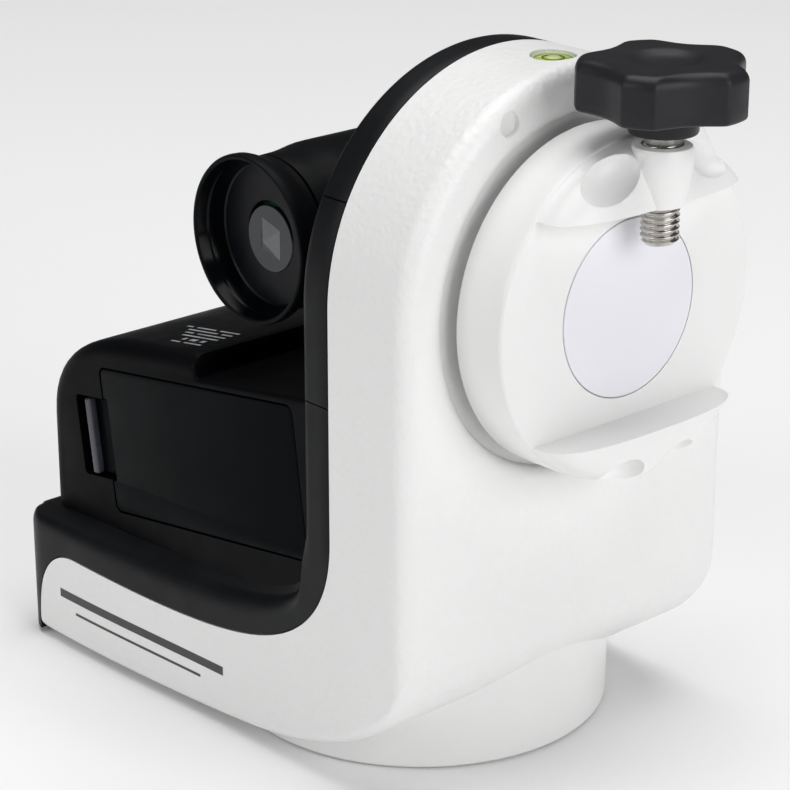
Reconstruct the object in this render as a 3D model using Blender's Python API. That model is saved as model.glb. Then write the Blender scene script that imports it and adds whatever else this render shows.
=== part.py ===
# Motorised alt-azimuth star tracker mount.
# Metres, +Z up.  The origin is on the azimuth axis, in the plane of the base's underside.
# The saddle faces -Y, the battery box and the foot reach back along +Y, and the sun sensor looks along -X.
# Lengths below are in millimetres and are scaled when the meshes are made.
import math

import bpy
import bmesh
from mathutils import Matrix, Vector

MM = 0.001
GAP = 0.3                      # clearance kept between neighbouring pieces

# driving dimensions, mm
ALT_Z = 109.35                 # altitude axis above the underside of the base
FRONT_Y = -49.14               # front face of the white shell
SEAM_Y = -25.36                # plane where the white shell meets the black covers
COVER_Y = -16.14               # rear face of the arm's black cover
ARCH_R = 49.1                  # arm half width and radius of its round top
EDGE_R = 4.0                   # rounding between front face and side walls
WALL = 2.6                     # white casting wall
SKIN = 2.3                     # black moulding wall
FOOT_W = 52.2                  # half width at the rear of the foot
REAR_Y = 89.24                 # rear wall of the foot
REAR_R = 9.9                   # plan corner radius at the rear
DRUM_R = 44.0
DRUM_TOP = 25.6
SADDLE_R = 37.0
SADDLE_BACK = -50.64
SADDLE_FLOOR = -63.69
JAW_RISE = 10.2                # height of the jaws above the saddle floor
JAW_HALF = 24.0
SCREW_Y = -71.34
SCREW_R = 4.0
SCREW_TIP = 125.1
BOSS_R = 6.3
BOSS_TOP = 145.9
KNOB_R = 17.9
LEVEL_Y = -40.14
BOX_W = 45.5
BOX_REAR = 84.1
TILT = math.radians(8.4)       # slope of the battery box top and of its door
DOOR_C = (23.9, 60.95)
DOOR_L, DOOR_H = 71.0, 35.0
SENSOR_Y, SENSOR_Z = 11.19, 114.9
HOOD_R = 18.9
BODY_R = 18.2
SENSOR_FRONT, SENSOR_BACK = -41.0, 18.0

for ob in list(bpy.data.objects):
    bpy.data.objects.remove(ob, do_unlink=True)


# ---------------------------------------------------------------- helpers
def material(name, rgb, rough, metal=0.0):
    m = bpy.data.materials.new(name)
    m.use_nodes = True
    b = m.node_tree.nodes["Principled BSDF"]
    b.inputs["Base Color"].default_value = (rgb[0], rgb[1], rgb[2], 1.0)
    b.inputs["Roughness"].default_value = rough
    b.inputs["Metallic"].default_value = metal
    m.diffuse_color = (rgb[0], rgb[1], rgb[2], 1.0)
    return m


WHITE = (0.83, 0.83, 0.82)
BLACK = (0.018, 0.019, 0.022)
STEEL = (0.62, 0.60, 0.57)


def make(name, verts, faces, colour=BLACK, rough=0.5, metal=0.0, angle=35.0):
    me = bpy.data.meshes.new(name)
    me.from_pydata([Vector(v) * MM for v in verts], [], faces)
    me.validate()
    bm = bmesh.new()
    bm.from_mesh(me)
    bmesh.ops.recalc_face_normals(bm, faces=bm.faces)
    if bm.calc_volume(signed=True) < 0:
        bmesh.ops.reverse_faces(bm, faces=bm.faces)
    bm.to_mesh(me)
    bm.free()
    ob = bpy.data.objects.new(name, me)
    bpy.context.scene.collection.objects.link(ob)
    if name[0] != "~":
        me.materials.append(material(name + "_mat", colour, rough, metal))
    me.shade_smooth()
    me.set_sharp_from_angle(angle=math.radians(angle))
    return ob


def boolean(ob, other, op="DIFFERENCE", keep=False):
    m = ob.modifiers.new("b", "BOOLEAN")
    m.operation = op
    m.solver = "EXACT"
    m.object = other
    bpy.context.view_layer.update()
    dg = bpy.context.evaluated_depsgraph_get()
    me = bpy.data.meshes.new_from_object(ob.evaluated_get(dg))
    ob.modifiers.remove(m)
    old = ob.data
    ob.data = me
    bpy.data.meshes.remove(old)
    me.name = ob.name
    if not keep:
        bpy.data.objects.remove(other, do_unlink=True)
    bm = bmesh.new()
    bm.from_mesh(me)
    bmesh.ops.remove_doubles(bm, verts=bm.verts, dist=0.000002)
    bmesh.ops.dissolve_degenerate(bm, edges=bm.edges, dist=0.000001)
    bm.to_mesh(me)
    bm.free()
    me.shade_smooth()
    me.set_sharp_from_angle(angle=math.radians(35))
    return ob


def cut(ob, *others):
    for o in others:
        boolean(ob, o)
    return ob


def loft(name, rings, **kw):
    n = len(rings[0])
    verts = [p for r in rings for p in r]
    faces = []
    for i in range(len(rings) - 1):
        a, b = i * n, (i + 1) * n
        for j in range(n):
            k = (j + 1) % n
            faces.append((a + j, a + k, b + k, b + j))
    faces.append(tuple(range(n))[::-1])
    last = (len(rings) - 1) * n
    faces.append(tuple(last + j for j in range(n)))
    return make(name, verts, faces, **kw)


def prism(name, poly, axis, a, b, **kw):
    """poly is in the plane across axis: (y, z) for X, (x, z) for Y, (x, y) for Z."""
    def pt(p, t):
        return {"X": (t, p[0], p[1]), "Y": (p[0], t, p[1]), "Z": (p[0], p[1], t)}[axis]
    return loft(name, [[pt(p, a) for p in poly], [pt(p, b) for p in poly]], **kw)


def box(name, lo, hi, **kw):
    return prism(name, [(lo[0], lo[1]), (hi[0], lo[1]), (hi[0], hi[1]), (lo[0], hi[1])], "Z", lo[2], hi[2], **kw)


def lathe(name, profile, axis="Z", centre=(0, 0, 0), n=48, phase=0.0, **kw):
    """Closed profile of (radius, height).  It may start and end on the axis, or be a closed ring section."""
    cx, cy, cz = centre

    def pt(r, h, t):
        c, s = r * math.cos(t), r * math.sin(t)
        if axis == "Z":
            return (cx + c, cy + s, cz + h)
        if axis == "Y":
            return (cx + c, cy + h, cz + s)
        return (cx + h, cy + c, cz + s)

    verts, faces, rows = [], [], []
    for r, h in profile:
        if r < 1e-9:
            verts.append(pt(0, h, 0))
            rows.append([len(verts) - 1])
        else:
            rows.append(list(range(len(verts), len(verts) + n)))
            verts += [pt(r, h, phase + 2 * math.pi * k / n) for k in range(n)]
    on_axis = profile[0][0] < 1e-9
    pairs = list(zip(rows, rows[1:]))
    if not on_axis:
        pairs.append((rows[-1], rows[0]))
    for a, b in pairs:
        for j in range(n):
            k = (j + 1) % n
            if len(a) == 1 and len(b) == 1:
                continue
            if len(a) == 1:
                faces.append((a[0], b[k], b[j]))
            elif len(b) == 1:
                faces.append((a[j], a[k], b[0]))
            else:
                faces.append((a[j], a[k], b[k], b[j]))
    return make(name, verts, faces, **kw)


def disc(name, r, a, b, axis="Z", centre=(0, 0, 0), n=32, c=0.0, **kw):
    p = [(0, a), (r - c, a)] + ([(r, a + c), (r, b - c)] if c else [(r, b)]) + ([(r - c, b)] if c else []) + [(0, b)]
    if not c:
        p = [(0, a), (r, a), (r, b), (0, b)]
    return lathe(name, p, axis, centre, n, **kw)


def ring(name, r0, r1, a, b, axis="Z", centre=(0, 0, 0), n=32, **kw):
    return lathe(name, [(r0, a), (r1, a), (r1, b), (r0, b)], axis, centre, n, **kw)


def bez(p0, p1, p2, p3, n):
    out = []
    for i in range(n + 1):
        t = i / n
        a, b, c, d = (1 - t) ** 3, 3 * t * (1 - t) ** 2, 3 * t * t * (1 - t), t ** 3
        out.append(tuple(a * p0[k] + b * p1[k] + c * p2[k] + d * p3[k] for k in range(2)))
    return out


def smooth(t):
    t = max(0.0, min(1.0, t))
    return t * t * (3 - 2 * t)


def interp(y, pts):
    if y <= pts[0][0]:
        return pts[0][1]
    for (a, u), (b, v) in zip(pts, pts[1:]):
        if y <= b:
            return u + (v - u) * (y - a) / (b - a)
    return pts[-1][1]


def origin_to(ob, p):
    """Move an object's origin to a world point without moving its surface."""
    v = Vector(p) * MM
    ob.data.transform(Matrix.Translation(-v))
    ob.matrix_world = Matrix.Translation(v)
    return ob


# ---------------------------------------------------------------- body outline rules
CHIN = bez((FRONT_Y, 38.0), (FRONT_Y, 21.0), (-32.0, 8.5), (-2.0, 3.3), 24)


def bottom(y):
    """Underside of the casing: a rolled chin, then a nearly flat foot."""
    if y > -2.0:
        return 0.9 + 2.4 * math.exp(-(y + 2.0) / 18.0)
    return interp(y, CHIN)


def half_width(y):
    w = ARCH_R + (FOOT_W - ARCH_R) * smooth((y + 8.0) / 82.0)
    if y > REAR_Y - REAR_R:
        d = min(y - (REAR_Y - REAR_R), REAR_R)
        w -= REAR_R - math.sqrt(max(REAR_R ** 2 - d * d, 0.0))
    return w


def front_round(y, y0=FRONT_Y, r=EDGE_R):
    d = r - (y - y0)
    return r - math.sqrt(max(r * r - d * d, 0.0)) if d > 0 else 0.0


def arch_outline(w, zb, corner=3.0, arch=28):
    """Closed outline in X-Z: flat bottom with rounded corners, straight sides and a half-round top."""
    pts = []
    zb = min(zb, ALT_Z - 20)
    for k in range(4):
        t = math.pi * 1.5 + math.pi / 2 * k / 3
        pts.append((w - corner + corner * math.cos(t), zb + corner + corner * math.sin(t)))
    for k in range(arch + 1):
        t = math.pi * k / arch
        pts.append((w * math.cos(t), ALT_Z + w * math.sin(t)))
    for k in range(4):
        t = math.pi + math.pi / 2 * k / 3
        pts.append((-w + corner + corner * math.cos(t), zb + corner + corner * math.sin(t)))
    return pts


def casing(name, inset, y0, y1):
    """The outer form of the casing, or with an inset the space inside it."""
    ys = [y0, y0 + 0.3, y0 + 1.2, y0 + 2.6, y0 + 4.0]
    y = y0 + 6.0
    while y < min(y1, REAR_Y - REAR_R):
        ys.append(y)
        y += 3.0 if y < -5 else 9.0
    if y1 > REAR_Y - REAR_R:
        ys += [REAR_Y - REAR_R + REAR_R * math.sin(math.pi / 2 * k / 4) for k in range(5)]
    else:
        ys.append(y1)
    if y1 > REAR_Y:
        ys.append(y1)
    rings = []
    for y in ys:
        e = front_round(y, y0, max(EDGE_R - inset, 1.0))
        w = half_width(min(y, REAR_Y)) - inset - e
        rings.append([(x, y, z) for x, z in arch_outline(w, bottom(max(y - inset, FRONT_Y)) + inset)])
    return loft(name, rings)


# seam between the white shell and the black mouldings, in the Y-Z plane
SEAM = (bez((SEAM_Y, 58.0), (SEAM_Y, 36.5), (-8.0, 28.2), (8.7, 25.5), 10)
        + bez((8.7, 25.5), (25.0, 22.6), (50.0, 23.8), (66.0, 24.1), 5)[1:]
        + bez((66.0, 24.1), (76.0, 24.3), (81.2, 16.0), (81.2, 4.0), 6)[1:])
LEDGE = [(COVER_Y, 52.0), (-14.0, 47.0), (-10.0, 44.0), (0.0, 40.6), (17.0, 36.9), (50.0, 34.2), (75.0, 33.0),
         (REAR_Y, 32.0)]


def offset_line(pts, d):
    out = []
    for i, p in enumerate(pts):
        a = Vector(pts[max(i - 1, 0)])
        b = Vector(pts[min(i + 1, len(pts) - 1)])
        t = (b - a).normalized()
        out.append((p[0] - t.y * d, p[1] + t.x * d))
    return out


# ---------------------------------------------------------------- white front shell
white_region = prism("~white", [(-60, 190), (SEAM_Y, 190)] + SEAM + [(81.2, -8), (-60, -8)], "X", -60, 60)
front_shell = casing("front_shell", 0.0, FRONT_Y, REAR_Y)
front_shell.data.materials.append(material("front_shell_mat", WHITE, 0.45))
boolean(front_shell, white_region, "INTERSECT")
boolean(front_shell, casing("~inside", WALL, FRONT_Y + WALL, 100.0))
cut(front_shell,
    disc("~drum", DRUM_R + GAP + 0.1, -12, 27.0, n=64),
    disc("~recess", 38.6, FRONT_Y - 2, FRONT_Y + 1.2, "Y", (0, 0, ALT_Z), n=64),
    disc("~shaft", 13.6, FRONT_Y - 3, FRONT_Y + 6, "Y", (0, 0, ALT_Z), n=32),
    disc("~level", 4.95, 150, 170, "Z", (0, LEVEL_Y, 0), n=28),
    disc("~blind", 2.6, FRONT_Y - 1, FRONT_Y + 1.8, "Y", (-22.0 + 1.5, 0, ALT_Z + 39.6), n=20))

# ---------------------------------------------------------------- black covers of the arm
PART_LOW, PART_HIGH = 88.3, 131.9


def cover(name, z0, z1):
    y0 = SEAM_Y + GAP
    ys = [y0, COVER_Y - 2.5, COVER_Y - 1.3, COVER_Y - 0.4, COVER_Y]
    ins = [0.0, 0.0, 0.35, 1.1, 2.5]
    ob = loft(name, [[(x, y, z) for x, z in arch_outline(ARCH_R - e, 20, arch=28)] for y, e in zip(ys, ins)],
              colour=BLACK, rough=0.42)
    inner = [[(x, y, z) for x, z in arch_outline(ARCH_R - SKIN, 14, arch=28)] for y in (y0 - 1, COVER_Y - SKIN)]
    cut(ob, loft("~in", inner))
    boolean(ob, box("~z", (-60, -60, z0), (60, 10, z1)), "INTERSECT")
    if z0 < ALT_Z < z1:
        cut(ob, disc("~h", 15.6, -30, 0, "Y", (0, 0, ALT_Z), n=32))
    return ob


mid_cover = cover("mid_cover", PART_LOW + GAP / 2, PART_HIGH - GAP / 2)
arch_cover = cover("arch_cover", PART_HIGH + GAP / 2, 170)

# ---------------------------------------------------------------- black foot cover with its ledge
FY0 = SEAM_Y + GAP


def ledge(y):
    return interp(y, LEDGE)


def foot_rings(inset, top):
    ys = [FY0, COVER_Y - 1.2, COVER_Y, COVER_Y + 0.15, -14, -10, 0, 17, 34, 50, 64, 75]
    ys += [REAR_Y - REAR_R + REAR_R * math.sin(math.pi / 2 * k / 4) for k in range(5)]
    rings = []
    for y in ys:
        w = half_width(y) - inset
        if y <= COVER_Y:
            zt, zo, xi = PART_LOW - GAP / 2, PART_LOW - GAP / 2, w - 3.2
            if y > COVER_Y - 1:
                w -= 1.4
        else:
            zt = ledge(y)
            zo = min(zt - 0.6, 30.85 + (12.0 * (1 - smooth((y - COVER_Y) / 20.0)) if y < 4 else 0))
            xi = BOX_W
        if y > REAR_Y - 3:
            zt, zo = zt - 0.8, zo - 0.8
        xi = min(xi, w - 1.0)
        zb = bottom(y) + inset
        zt, zo = zt - inset + top, zo - inset + top
        rings.append([(x, y, z) for x, z in
                      [(w, zb), (w, zo), (xi, zt), (-xi, zt), (-w, zo), (-w, zb)]])
    return rings


black_region = [(SEAM_Y + GAP, 190)] + [(SEAM_Y + GAP, 58.0)] + offset_line(SEAM, GAP)[1:] + [(81.2 + GAP, -8), (120, -8), (120, 190)]
foot_cover = loft("foot_cover", foot_rings(0.0, 0.0), colour=BLACK, rough=0.42)
boolean(foot_cover, prism("~black", black_region, "X", -60, 60), "INTERSECT")
inner = foot_rings(SKIN, 0.0)
inner = [[(x, FY0 - 1, z) for x, _, z in inner[0]]] + inner[:-1]
cut(foot_cover, loft("~in", inner))
cut(foot_cover,
    box("~deck", (-42.0, -13.5, 28), (42.0, 81.0, 60)),
    box("~throat", (-42.0, -30, 34), (42.0, -10, 78)),
    box("~top", (-44.5, -30, 76), (44.5, -18.5, 95)),
    disc("~drum", DRUM_R + GAP + 0.1, -12, 27.0, n=64))

# ---------------------------------------------------------------- battery box
TOP_F = (25.8, 84.9)           # front upper edge of the label plateau


def tilted(u, v):
    """Door-plane coordinates, u rearwards and v upwards, to (y, z)."""
    return (DOOR_C[0] + u * math.cos(TILT) + v * math.sin(TILT),
            DOOR_C[1] - u * math.sin(TILT) + v * math.cos(TILT))


def box_profile(d):
    p = [(COVER_Y + GAP + d, 52.6), (COVER_Y + GAP + d, 86.6 - d), (24.4, 80.0 - d),
         (25.8, 84.9 - d), (57.0 - d * 0.2, 80.3 - d)]
    p += bez((57.0 - d * 0.2, 80.3 - d), (72.0 - d * 0.6, 77.9 - d), (BOX_REAR - d, 70.0 - d * 0.6),
             (BOX_REAR - d, 54.0), 7)[1:]
    p += [(BOX_REAR - d, 33.4)]
    for y in (75.0, 50.0, 17.0, 0.0, -10.0):
        p.append((y, ledge(y) + GAP if d == 0 else ledge(y) - 6))
    if d:
        p = [(a, b) if b > 50 or a > -12 else (a, b) for a, b in p]
        p[0] = (COVER_Y + GAP + d, 40.0)
    return p


battery_box = prism("battery_box", box_profile(0.0), "X", -BOX_W, BOX_W, colour=BLACK, rough=0.42)
bv = battery_box.modifiers.new("edge", "BEVEL")
bv.width = 2.2 * MM
bv.segments = 2
bv.limit_method = "ANGLE"
bv.angle_limit = math.radians(60)
bpy.context.view_layer.update()
me = bpy.data.meshes.new_from_object(battery_box.evaluated_get(bpy.context.evaluated_depsgraph_get()))
battery_box.modifiers.clear()
battery_box.data = me
boolean(battery_box, prism("~in", box_profile(SKIN), "X", -BOX_W + SKIN, BOX_W - SKIN))


def tilted_box(name, u0, v0, u1, v1, x0, x1, r=0.0, **kw):
    q = []
    if r:
        for cu, cv, a in ((u0 + r, v0 + r, 180), (u1 - r, v0 + r, 270), (u1 - r, v1 - r, 0), (u0 + r, v1 - r, 90)):
            for k in range(4):
                t = math.radians(a + 30 * k)
                q.append(tilted(cu + r * math.cos(t), cv + r * math.sin(t)))
    else:
        q = [tilted(u, v) for u, v in ((u0, v0), (u1, v0), (u1, v1), (u0, v1))]
    return prism(name, q, "X", x0, x1, **kw)


HL, HH = DOOR_L / 2, DOOR_H / 2
cut(battery_box,
    tilted_box("~door", -HL - GAP, -HH - GAP, HL + GAP, HH + GAP, -BOX_W - 5, -BOX_W + 6, r=2.2),
    tilted_box("~latch", HL - 1.0, -9.6, HL + 11.2, 9.6, -BOX_W - 5, -BOX_W + 6, r=0.8))
battery_door = tilted_box("battery_door", -HL, -HH, HL, HH, -BOX_W, -BOX_W + 2.0, r=2.0, colour=BLACK, rough=0.35)
cut(battery_door, tilted_box("~notch", HL - 1.3, -9.9, HL + 5, 9.9, -BOX_W - 5, -BOX_W + 6))
door_latch = tilted_box("door_latch", HL - 0.8, -9.2, HL + 7.6, 9.2, -BOX_W + 0.9, -BOX_W + 3.0, colour=BLACK, rough=0.3)
rib = tilted_box("~rib", HL + 5.4, -9.2, HL + 7.6, 9.2, -BOX_W - 0.3, -BOX_W + 1.5)
boolean(door_latch, rib, "UNION")
hinge_y, hinge_z = tilted(-HL + 1.2, 0.0)
origin_to(battery_door, (-BOX_W + 0.4, hinge_y, hinge_z))

# compartment behind the door: tub, tray, cells
BAY = dict(colour=(0.03, 0.03, 0.033), rough=0.6)
battery_bay = tilted_box("battery_bay", -34.4, -16.4, 32.8, 16.4, -BOX_W + SKIN + GAP, 15.4, **BAY)
cut(battery_bay, tilted_box("~bay", -33.2, -15.3, 31.6, 15.3, -60, 14.0))
battery_tray = tilted_box("battery_tray", -32.8, -14.95, 31.2, 14.95, -42.0, 13.4, colour=(0.04, 0.04, 0.045), rough=0.55)
cut(battery_tray, tilted_box("~tray", -30.6, -60, 29.0, 60, -60.0, 10.8))
cut(battery_tray, tilted_box("~traylow", -60, -12.6, 60, 12.6, -39.4, 8.2))
CELL_R, CELL_L = 7.1, 47.6
for i in range(4):
    for j in range(2):
        y, z = tilted(-23.2 + 14.9 * i, -7.4 + 14.8 * j)
        s = 1 if (i + j) % 2 else -1
        x0 = -39.2
        lathe("cell_%d" % (i * 2 + j + 1),
              [(0, x0), (CELL_R, x0), (CELL_R, x0 + CELL_L), (2.7, x0 + CELL_L), (2.7, x0 + CELL_L + 1.2),
               (0, x0 + CELL_L + 1.2)] if s > 0 else
              [(0, x0 - 0.2 + 1.4 - 1.2), (2.7, x0), (2.7, x0 + 1.2), (CELL_R, x0 + 1.2), (CELL_R, x0 + CELL_L + 1.2),
               (0, x0 + CELL_L + 1.2)],
              "X", (0, y, z), 14, colour=(0.55, 0.36, 0.12) if s > 0 else (0.06, 0.06, 0.07), rough=0.3, metal=0.6)
contact_plate = tilted_box("contact_plate", -30.0, -14.0, 28.4, 14.0, 10.0 + 0.3, 10.5, colour=STEEL, rough=0.3, metal=1.0)

# ---------------------------------------------------------------- controls on the right and rear walls
BTN = [("button_up", 24.0, 69.0), ("button_down", 24.0, 47.0), ("button_left", 35.0, 58.0), ("button_right", 13.0, 58.0)]
for nm, y, z in BTN:
    cut(battery_box, disc("~b", 4.6, 40, 50, "X", (0, y, z), n=24))
    b = lathe(nm, [(0, 41.2), (5.6, 41.2), (5.6, 42.7), (4.2, 42.7), (4.2, 46.6), (3.7, 47.1), (0, 47.1)],
              "X", (0, y, z), 24, colour=(0.10, 0.10, 0.11), rough=0.5)
    origin_to(b, (44.0, y, z))
SOCK = (-14.0, 47.0)
SWITCH = (13.0, 47.0)
cut(battery_box,
    disc("~s", 6.3, 78, 90, "Y", (SOCK[0], 0, SOCK[1]), n=28),
    box("~w", (SWITCH[0] - 8.3, 78, SWITCH[1] - 6.3), (SWITCH[0] + 8.3, 90, SWITCH[1] + 6.3)))
power_socket = lathe("power_socket", [(0, 70.5), (6.0, 70.5), (6.0, 84.4), (7.6, 84.4), (7.6, 85.6), (3.4, 85.6), (3.4, 73.5),
                                      (1.2, 73.5), (1.2, 82.0), (0, 82.5)], "Y", (SOCK[0], 0, SOCK[1]), 28,
                     colour=(0.03, 0.03, 0.03), rough=0.35)
switch_bezel = box("switch_bezel", (SWITCH[0] - 9.6, 84.4, SWITCH[1] - 7.6), (SWITCH[0] + 9.6, 85.4, SWITCH[1] + 7.6),
                   colour=BLACK, rough=0.4)
boolean(switch_bezel, box("~t", (SWITCH[0] - 8.0, 74.4, SWITCH[1] - 6.0), (SWITCH[0] + 8.0, 85.0, SWITCH[1] + 6.0)), "UNION")
cut(switch_bezel, box("~c", (SWITCH[0] - 6.8, 76.0, SWITCH[1] - 4.8), (SWITCH[0] + 6.8, 90, SWITCH[1] + 4.8)))
sw = []
for k in range(9):
    t = math.radians(50 + 10 * k)
    sw.append((SWITCH[0] + 9.0 * math.cos(t), 77.0 + 9.3 * math.sin(t)))
sw = [(SWITCH[0] + 5.4, 79.5)] + [(max(SWITCH[0] - 5.9, min(SWITCH[0] + 5.9, a)), b) for a, b in sw] + [(SWITCH[0] - 5.4, 79.5)]
power_switch = prism("power_switch", sw, "Z", SWITCH[1] - 4.4, SWITCH[1] + 4.4, colour=(0.05, 0.05, 0.05), rough=0.3)
origin_to(power_switch, (SWITCH[0], 81.0, SWITCH[1]))
control_board = box("control_board", (36.0, -8.0, 42.0), (37.6, 60.0, 73.0), colour=(0.02, 0.16, 0.07), rough=0.5)

# ---------------------------------------------------------------- base
base_drum = lathe("base_drum", [(14.0, 6.0), (41.0, 6.0), (41.0, 0.0), (43.2, 0.0), (44.0, 0.8), (44.0, DRUM_TOP),
                                (41.0, DRUM_TOP), (41.0, 10.0), (19.0, 10.0), (19.0, 18.0), (14.0, 18.0)],
                  n=56, colour=WHITE, rough=0.45)
base_plate = lathe("base_plate", [(8.7, 0.0), (40.0, 0.0), (40.6, 0.6), (40.6, 5.7), (8.7, 5.7)], n=40,
                   colour=(0.05, 0.05, 0.055), rough=0.7)
tripod_bush = lathe("tripod_bush", [(4.76, 0.6), (5.6, 0.2), (8.4, 0.2), (8.4, 11.5), (4.76, 11.5)], n=32,
                    colour=(0.70, 0.55, 0.28), rough=0.35, metal=1.0)
spindle = lathe("azimuth_spindle", [(9.0, 6.4), (13.6, 6.4), (13.6, 18.6), (8.0, 18.6), (8.0, 44.0), (5.6, 44.0),
                                    (5.6, 14.0), (9.0, 14.0)], n=32, colour=STEEL, rough=0.3, metal=1.0)


def gear(name, r_tip, depth, teeth, r_bore, a, b, axis, centre, **kw):
    outer, inner = [], []
    for k in range(teeth):
        for f, r in ((0.0, r_tip - depth), (0.25, r_tip - depth), (0.42, r_tip), (0.72, r_tip)):
            outer.append((r, 2 * math.pi * (k + f) / teeth))
    n = len(outer)
    verts, faces = [], []

    def pt(r, t, h):
        c, s = r * math.cos(t), r * math.sin(t)
        return (centre[0] + c, centre[1] + s, centre[2] + h) if axis == "Z" else (centre[0] + c, centre[1] + h, centre[2] + s)
    for h in (a, b):
        verts += [pt(r, t, h) for r, t in outer]
        verts += [pt(r_bore, t, h) for _, t in outer]
    for j in range(n):
        k = (j + 1) % n
        faces += [(j, k, 2 * n + k, 2 * n + j), (n + k, n + j, 3 * n + j, 3 * n + k),
                  (k, j, n + j, n + k), (2 * n + j, 2 * n + k, 3 * n + k, 3 * n + j)]
    return make(name, verts, faces, **kw)


azimuth_wheel = gear("azimuth_worm_wheel", 29.4, 1.8, 40, 8.3, 29.0, 35.4, "Z", (0, 0, 0),
                     colour=(0.72, 0.58, 0.30), rough=0.3, metal=1.0)


def worm(name, y, z, length, r=4.6, turns=5, **kw):
    """Worm along X with a raised helical rib on a plain core and a drive shaft at its +X end."""
    n, steps = 10, turns * 10
    pitch = length / (turns + 1.0)
    rows = []
    core = r - 1.5
    for i in range(steps + n + 1):
        t = 2 * math.pi * i / n
        x = -length / 2 + pitch * i / n
        rows.append([(x + pitch * f, y + q * math.cos(t), z + q * math.sin(t))
                     for f, q in ((-0.40, core - 0.6), (-0.34, core + 0.1), (-0.12, r), (0.12, r), (0.34, core + 0.1), (0.40, core - 0.6))])
    rib = loft("~rib", rows)
    shaft = lathe(name, [(0, -length / 2 - 5), (2.0, -length / 2 - 5), (2.0, -length / 2 - 1.5), (core, -length / 2 - 1.5),
                         (core, length / 2 + 1.5), (2.0, length / 2 + 1.5), (2.0, length / 2 + 3.5), (0, length / 2 + 3.5)],
                  "X", (0, y, z), n, **kw)
    boolean(shaft, rib, "UNION")
    return origin_to(shaft, (0, y, z))


AZ_WORM = (29.4 + 4.6 + 0.35, 32.2)
azimuth_worm = worm("azimuth_worm", AZ_WORM[0], AZ_WORM[1], 20.0, colour=STEEL, rough=0.25, metal=1.0)


def motor(name, y, z, x0, r, length):
    ob = lathe(name, [(0, x0), (r - 2.2, x0), (r - 2.2, x0 + 5), (r, x0 + 5), (r, x0 + length), (2.4, x0 + length),
                      (2.4, x0 + length + 1.6), (0, x0 + length + 1.6)], "X", (0, y, z), 28,
               colour=STEEL, rough=0.35, metal=1.0)
    return ob


azimuth_motor = motor("azimuth_motor", AZ_WORM[0], AZ_WORM[1] + 1.4, 14.2, 7.2, 26)
azimuth_bearing = ring("azimuth_bearing", 8.3, 13.4, 37.4, 41.6, colour=STEEL, rough=0.25, metal=1.0)

# ---------------------------------------------------------------- chassis in the arm
ch = [(-36.0, 36.6), (21.0, 36.6), (21.0, 40.4), (-21.0, 40.4), (-21.0, 138.0), (-24.4, 138.0), (-24.4, 40.4),
      (-37.4, 40.4), (-43.0, 48.0), (-43.0, 138.0), (-46.2, 138.0), (-46.2, 46.8)]
chassis = prism("chassis", ch, "X", -24.0, 24.0, colour=(0.45, 0.46, 0.47), rough=0.5, metal=0.8)
cut(chassis, disc("~a", 13.4 + GAP, -50, -15, "Y", (0, 0, ALT_Z), n=32),
    disc("~z", 13.4 + GAP, 30, 50, "Z", (0, 0, 0), n=32))
altitude_bearing_front = ring("altitude_bearing_front", 7.3, 13.4, -46.4, -42.2, "Y", (0, 0, ALT_Z), colour=STEEL, rough=0.25, metal=1.0)
altitude_bearing_rear = ring("altitude_bearing_rear", 7.3, 13.4, -25.0, -20.4, "Y", (0, 0, ALT_Z), colour=STEEL, rough=0.25, metal=1.0)
ALT_WORM = (-34.0, ALT_Z - 26.4 - 4.6 - 0.35)
altitude_wheel = gear("altitude_worm_wheel", 26.4, 1.8, 36, 7.3, -37.2, -30.8, "Y", (0, 0, ALT_Z),
                      colour=(0.72, 0.58, 0.30), rough=0.3, metal=1.0)
altitude_worm = worm("altitude_worm", ALT_WORM[0], ALT_WORM[1], 20.0, colour=STEEL, rough=0.25, metal=1.0)
altitude_motor = motor("altitude_motor", ALT_WORM[0], ALT_WORM[1], 14.2, 8.2, 24)

# ---------------------------------------------------------------- bubble level
level_cup = lathe("level_cup", [(0, 149.5), (4.65, 149.5), (4.65, 157.55), (4.1, 157.55), (4.1, 150.6), (0, 150.6)],
                  "Z", (0, LEVEL_Y, 0), 28, colour=(0.75, 0.76, 0.74), rough=0.3)
level_vial = lathe("level_vial", [(0, 150.9), (3.8, 150.9), (3.8, 157.2), (3.4, 157.5), (0, 157.5)],
                   "Z", (0, LEVEL_Y, 0), 28, colour=(0.45, 0.62, 0.10), rough=0.1)

# ---------------------------------------------------------------- clamp saddle, on the altitude axis
prof = [(0, SADDLE_BACK), (SADDLE_R, SADDLE_BACK), (SADDLE_R - 0.12, SADDLE_FLOOR + 0.05)]
for k in range(1, 8):
    x = 28.0 * (1 - (k / 8.0) ** 2)             # half chord of the jaw's inner edge
    prof.append((math.hypot(JAW_HALF, x), SADDLE_FLOOR - JAW_RISE * (1 - (x / 28.0) ** 3) ** (1 / 3.0)))
prof.append((0, SADDLE_FLOOR - JAW_RISE))
saddle = lathe("saddle", prof, "Y", (0, 0, ALT_Z), 60, colour=WHITE, rough=0.4)
cut(saddle, box("~slot", (-60, -95, ALT_Z - JAW_HALF), (60, SADDLE_FLOOR, ALT_Z + JAW_HALF)))
boss = lathe("~boss", [(0, ALT_Z + JAW_HALF + 0.01), (4.8, ALT_Z + JAW_HALF + 0.01), (BOSS_R, 140.0), (BOSS_R, BOSS_TOP), (0, BOSS_TOP)],
             "Z", (0, SCREW_Y, 0), 28)
boolean(saddle, boss, "UNION")
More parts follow.
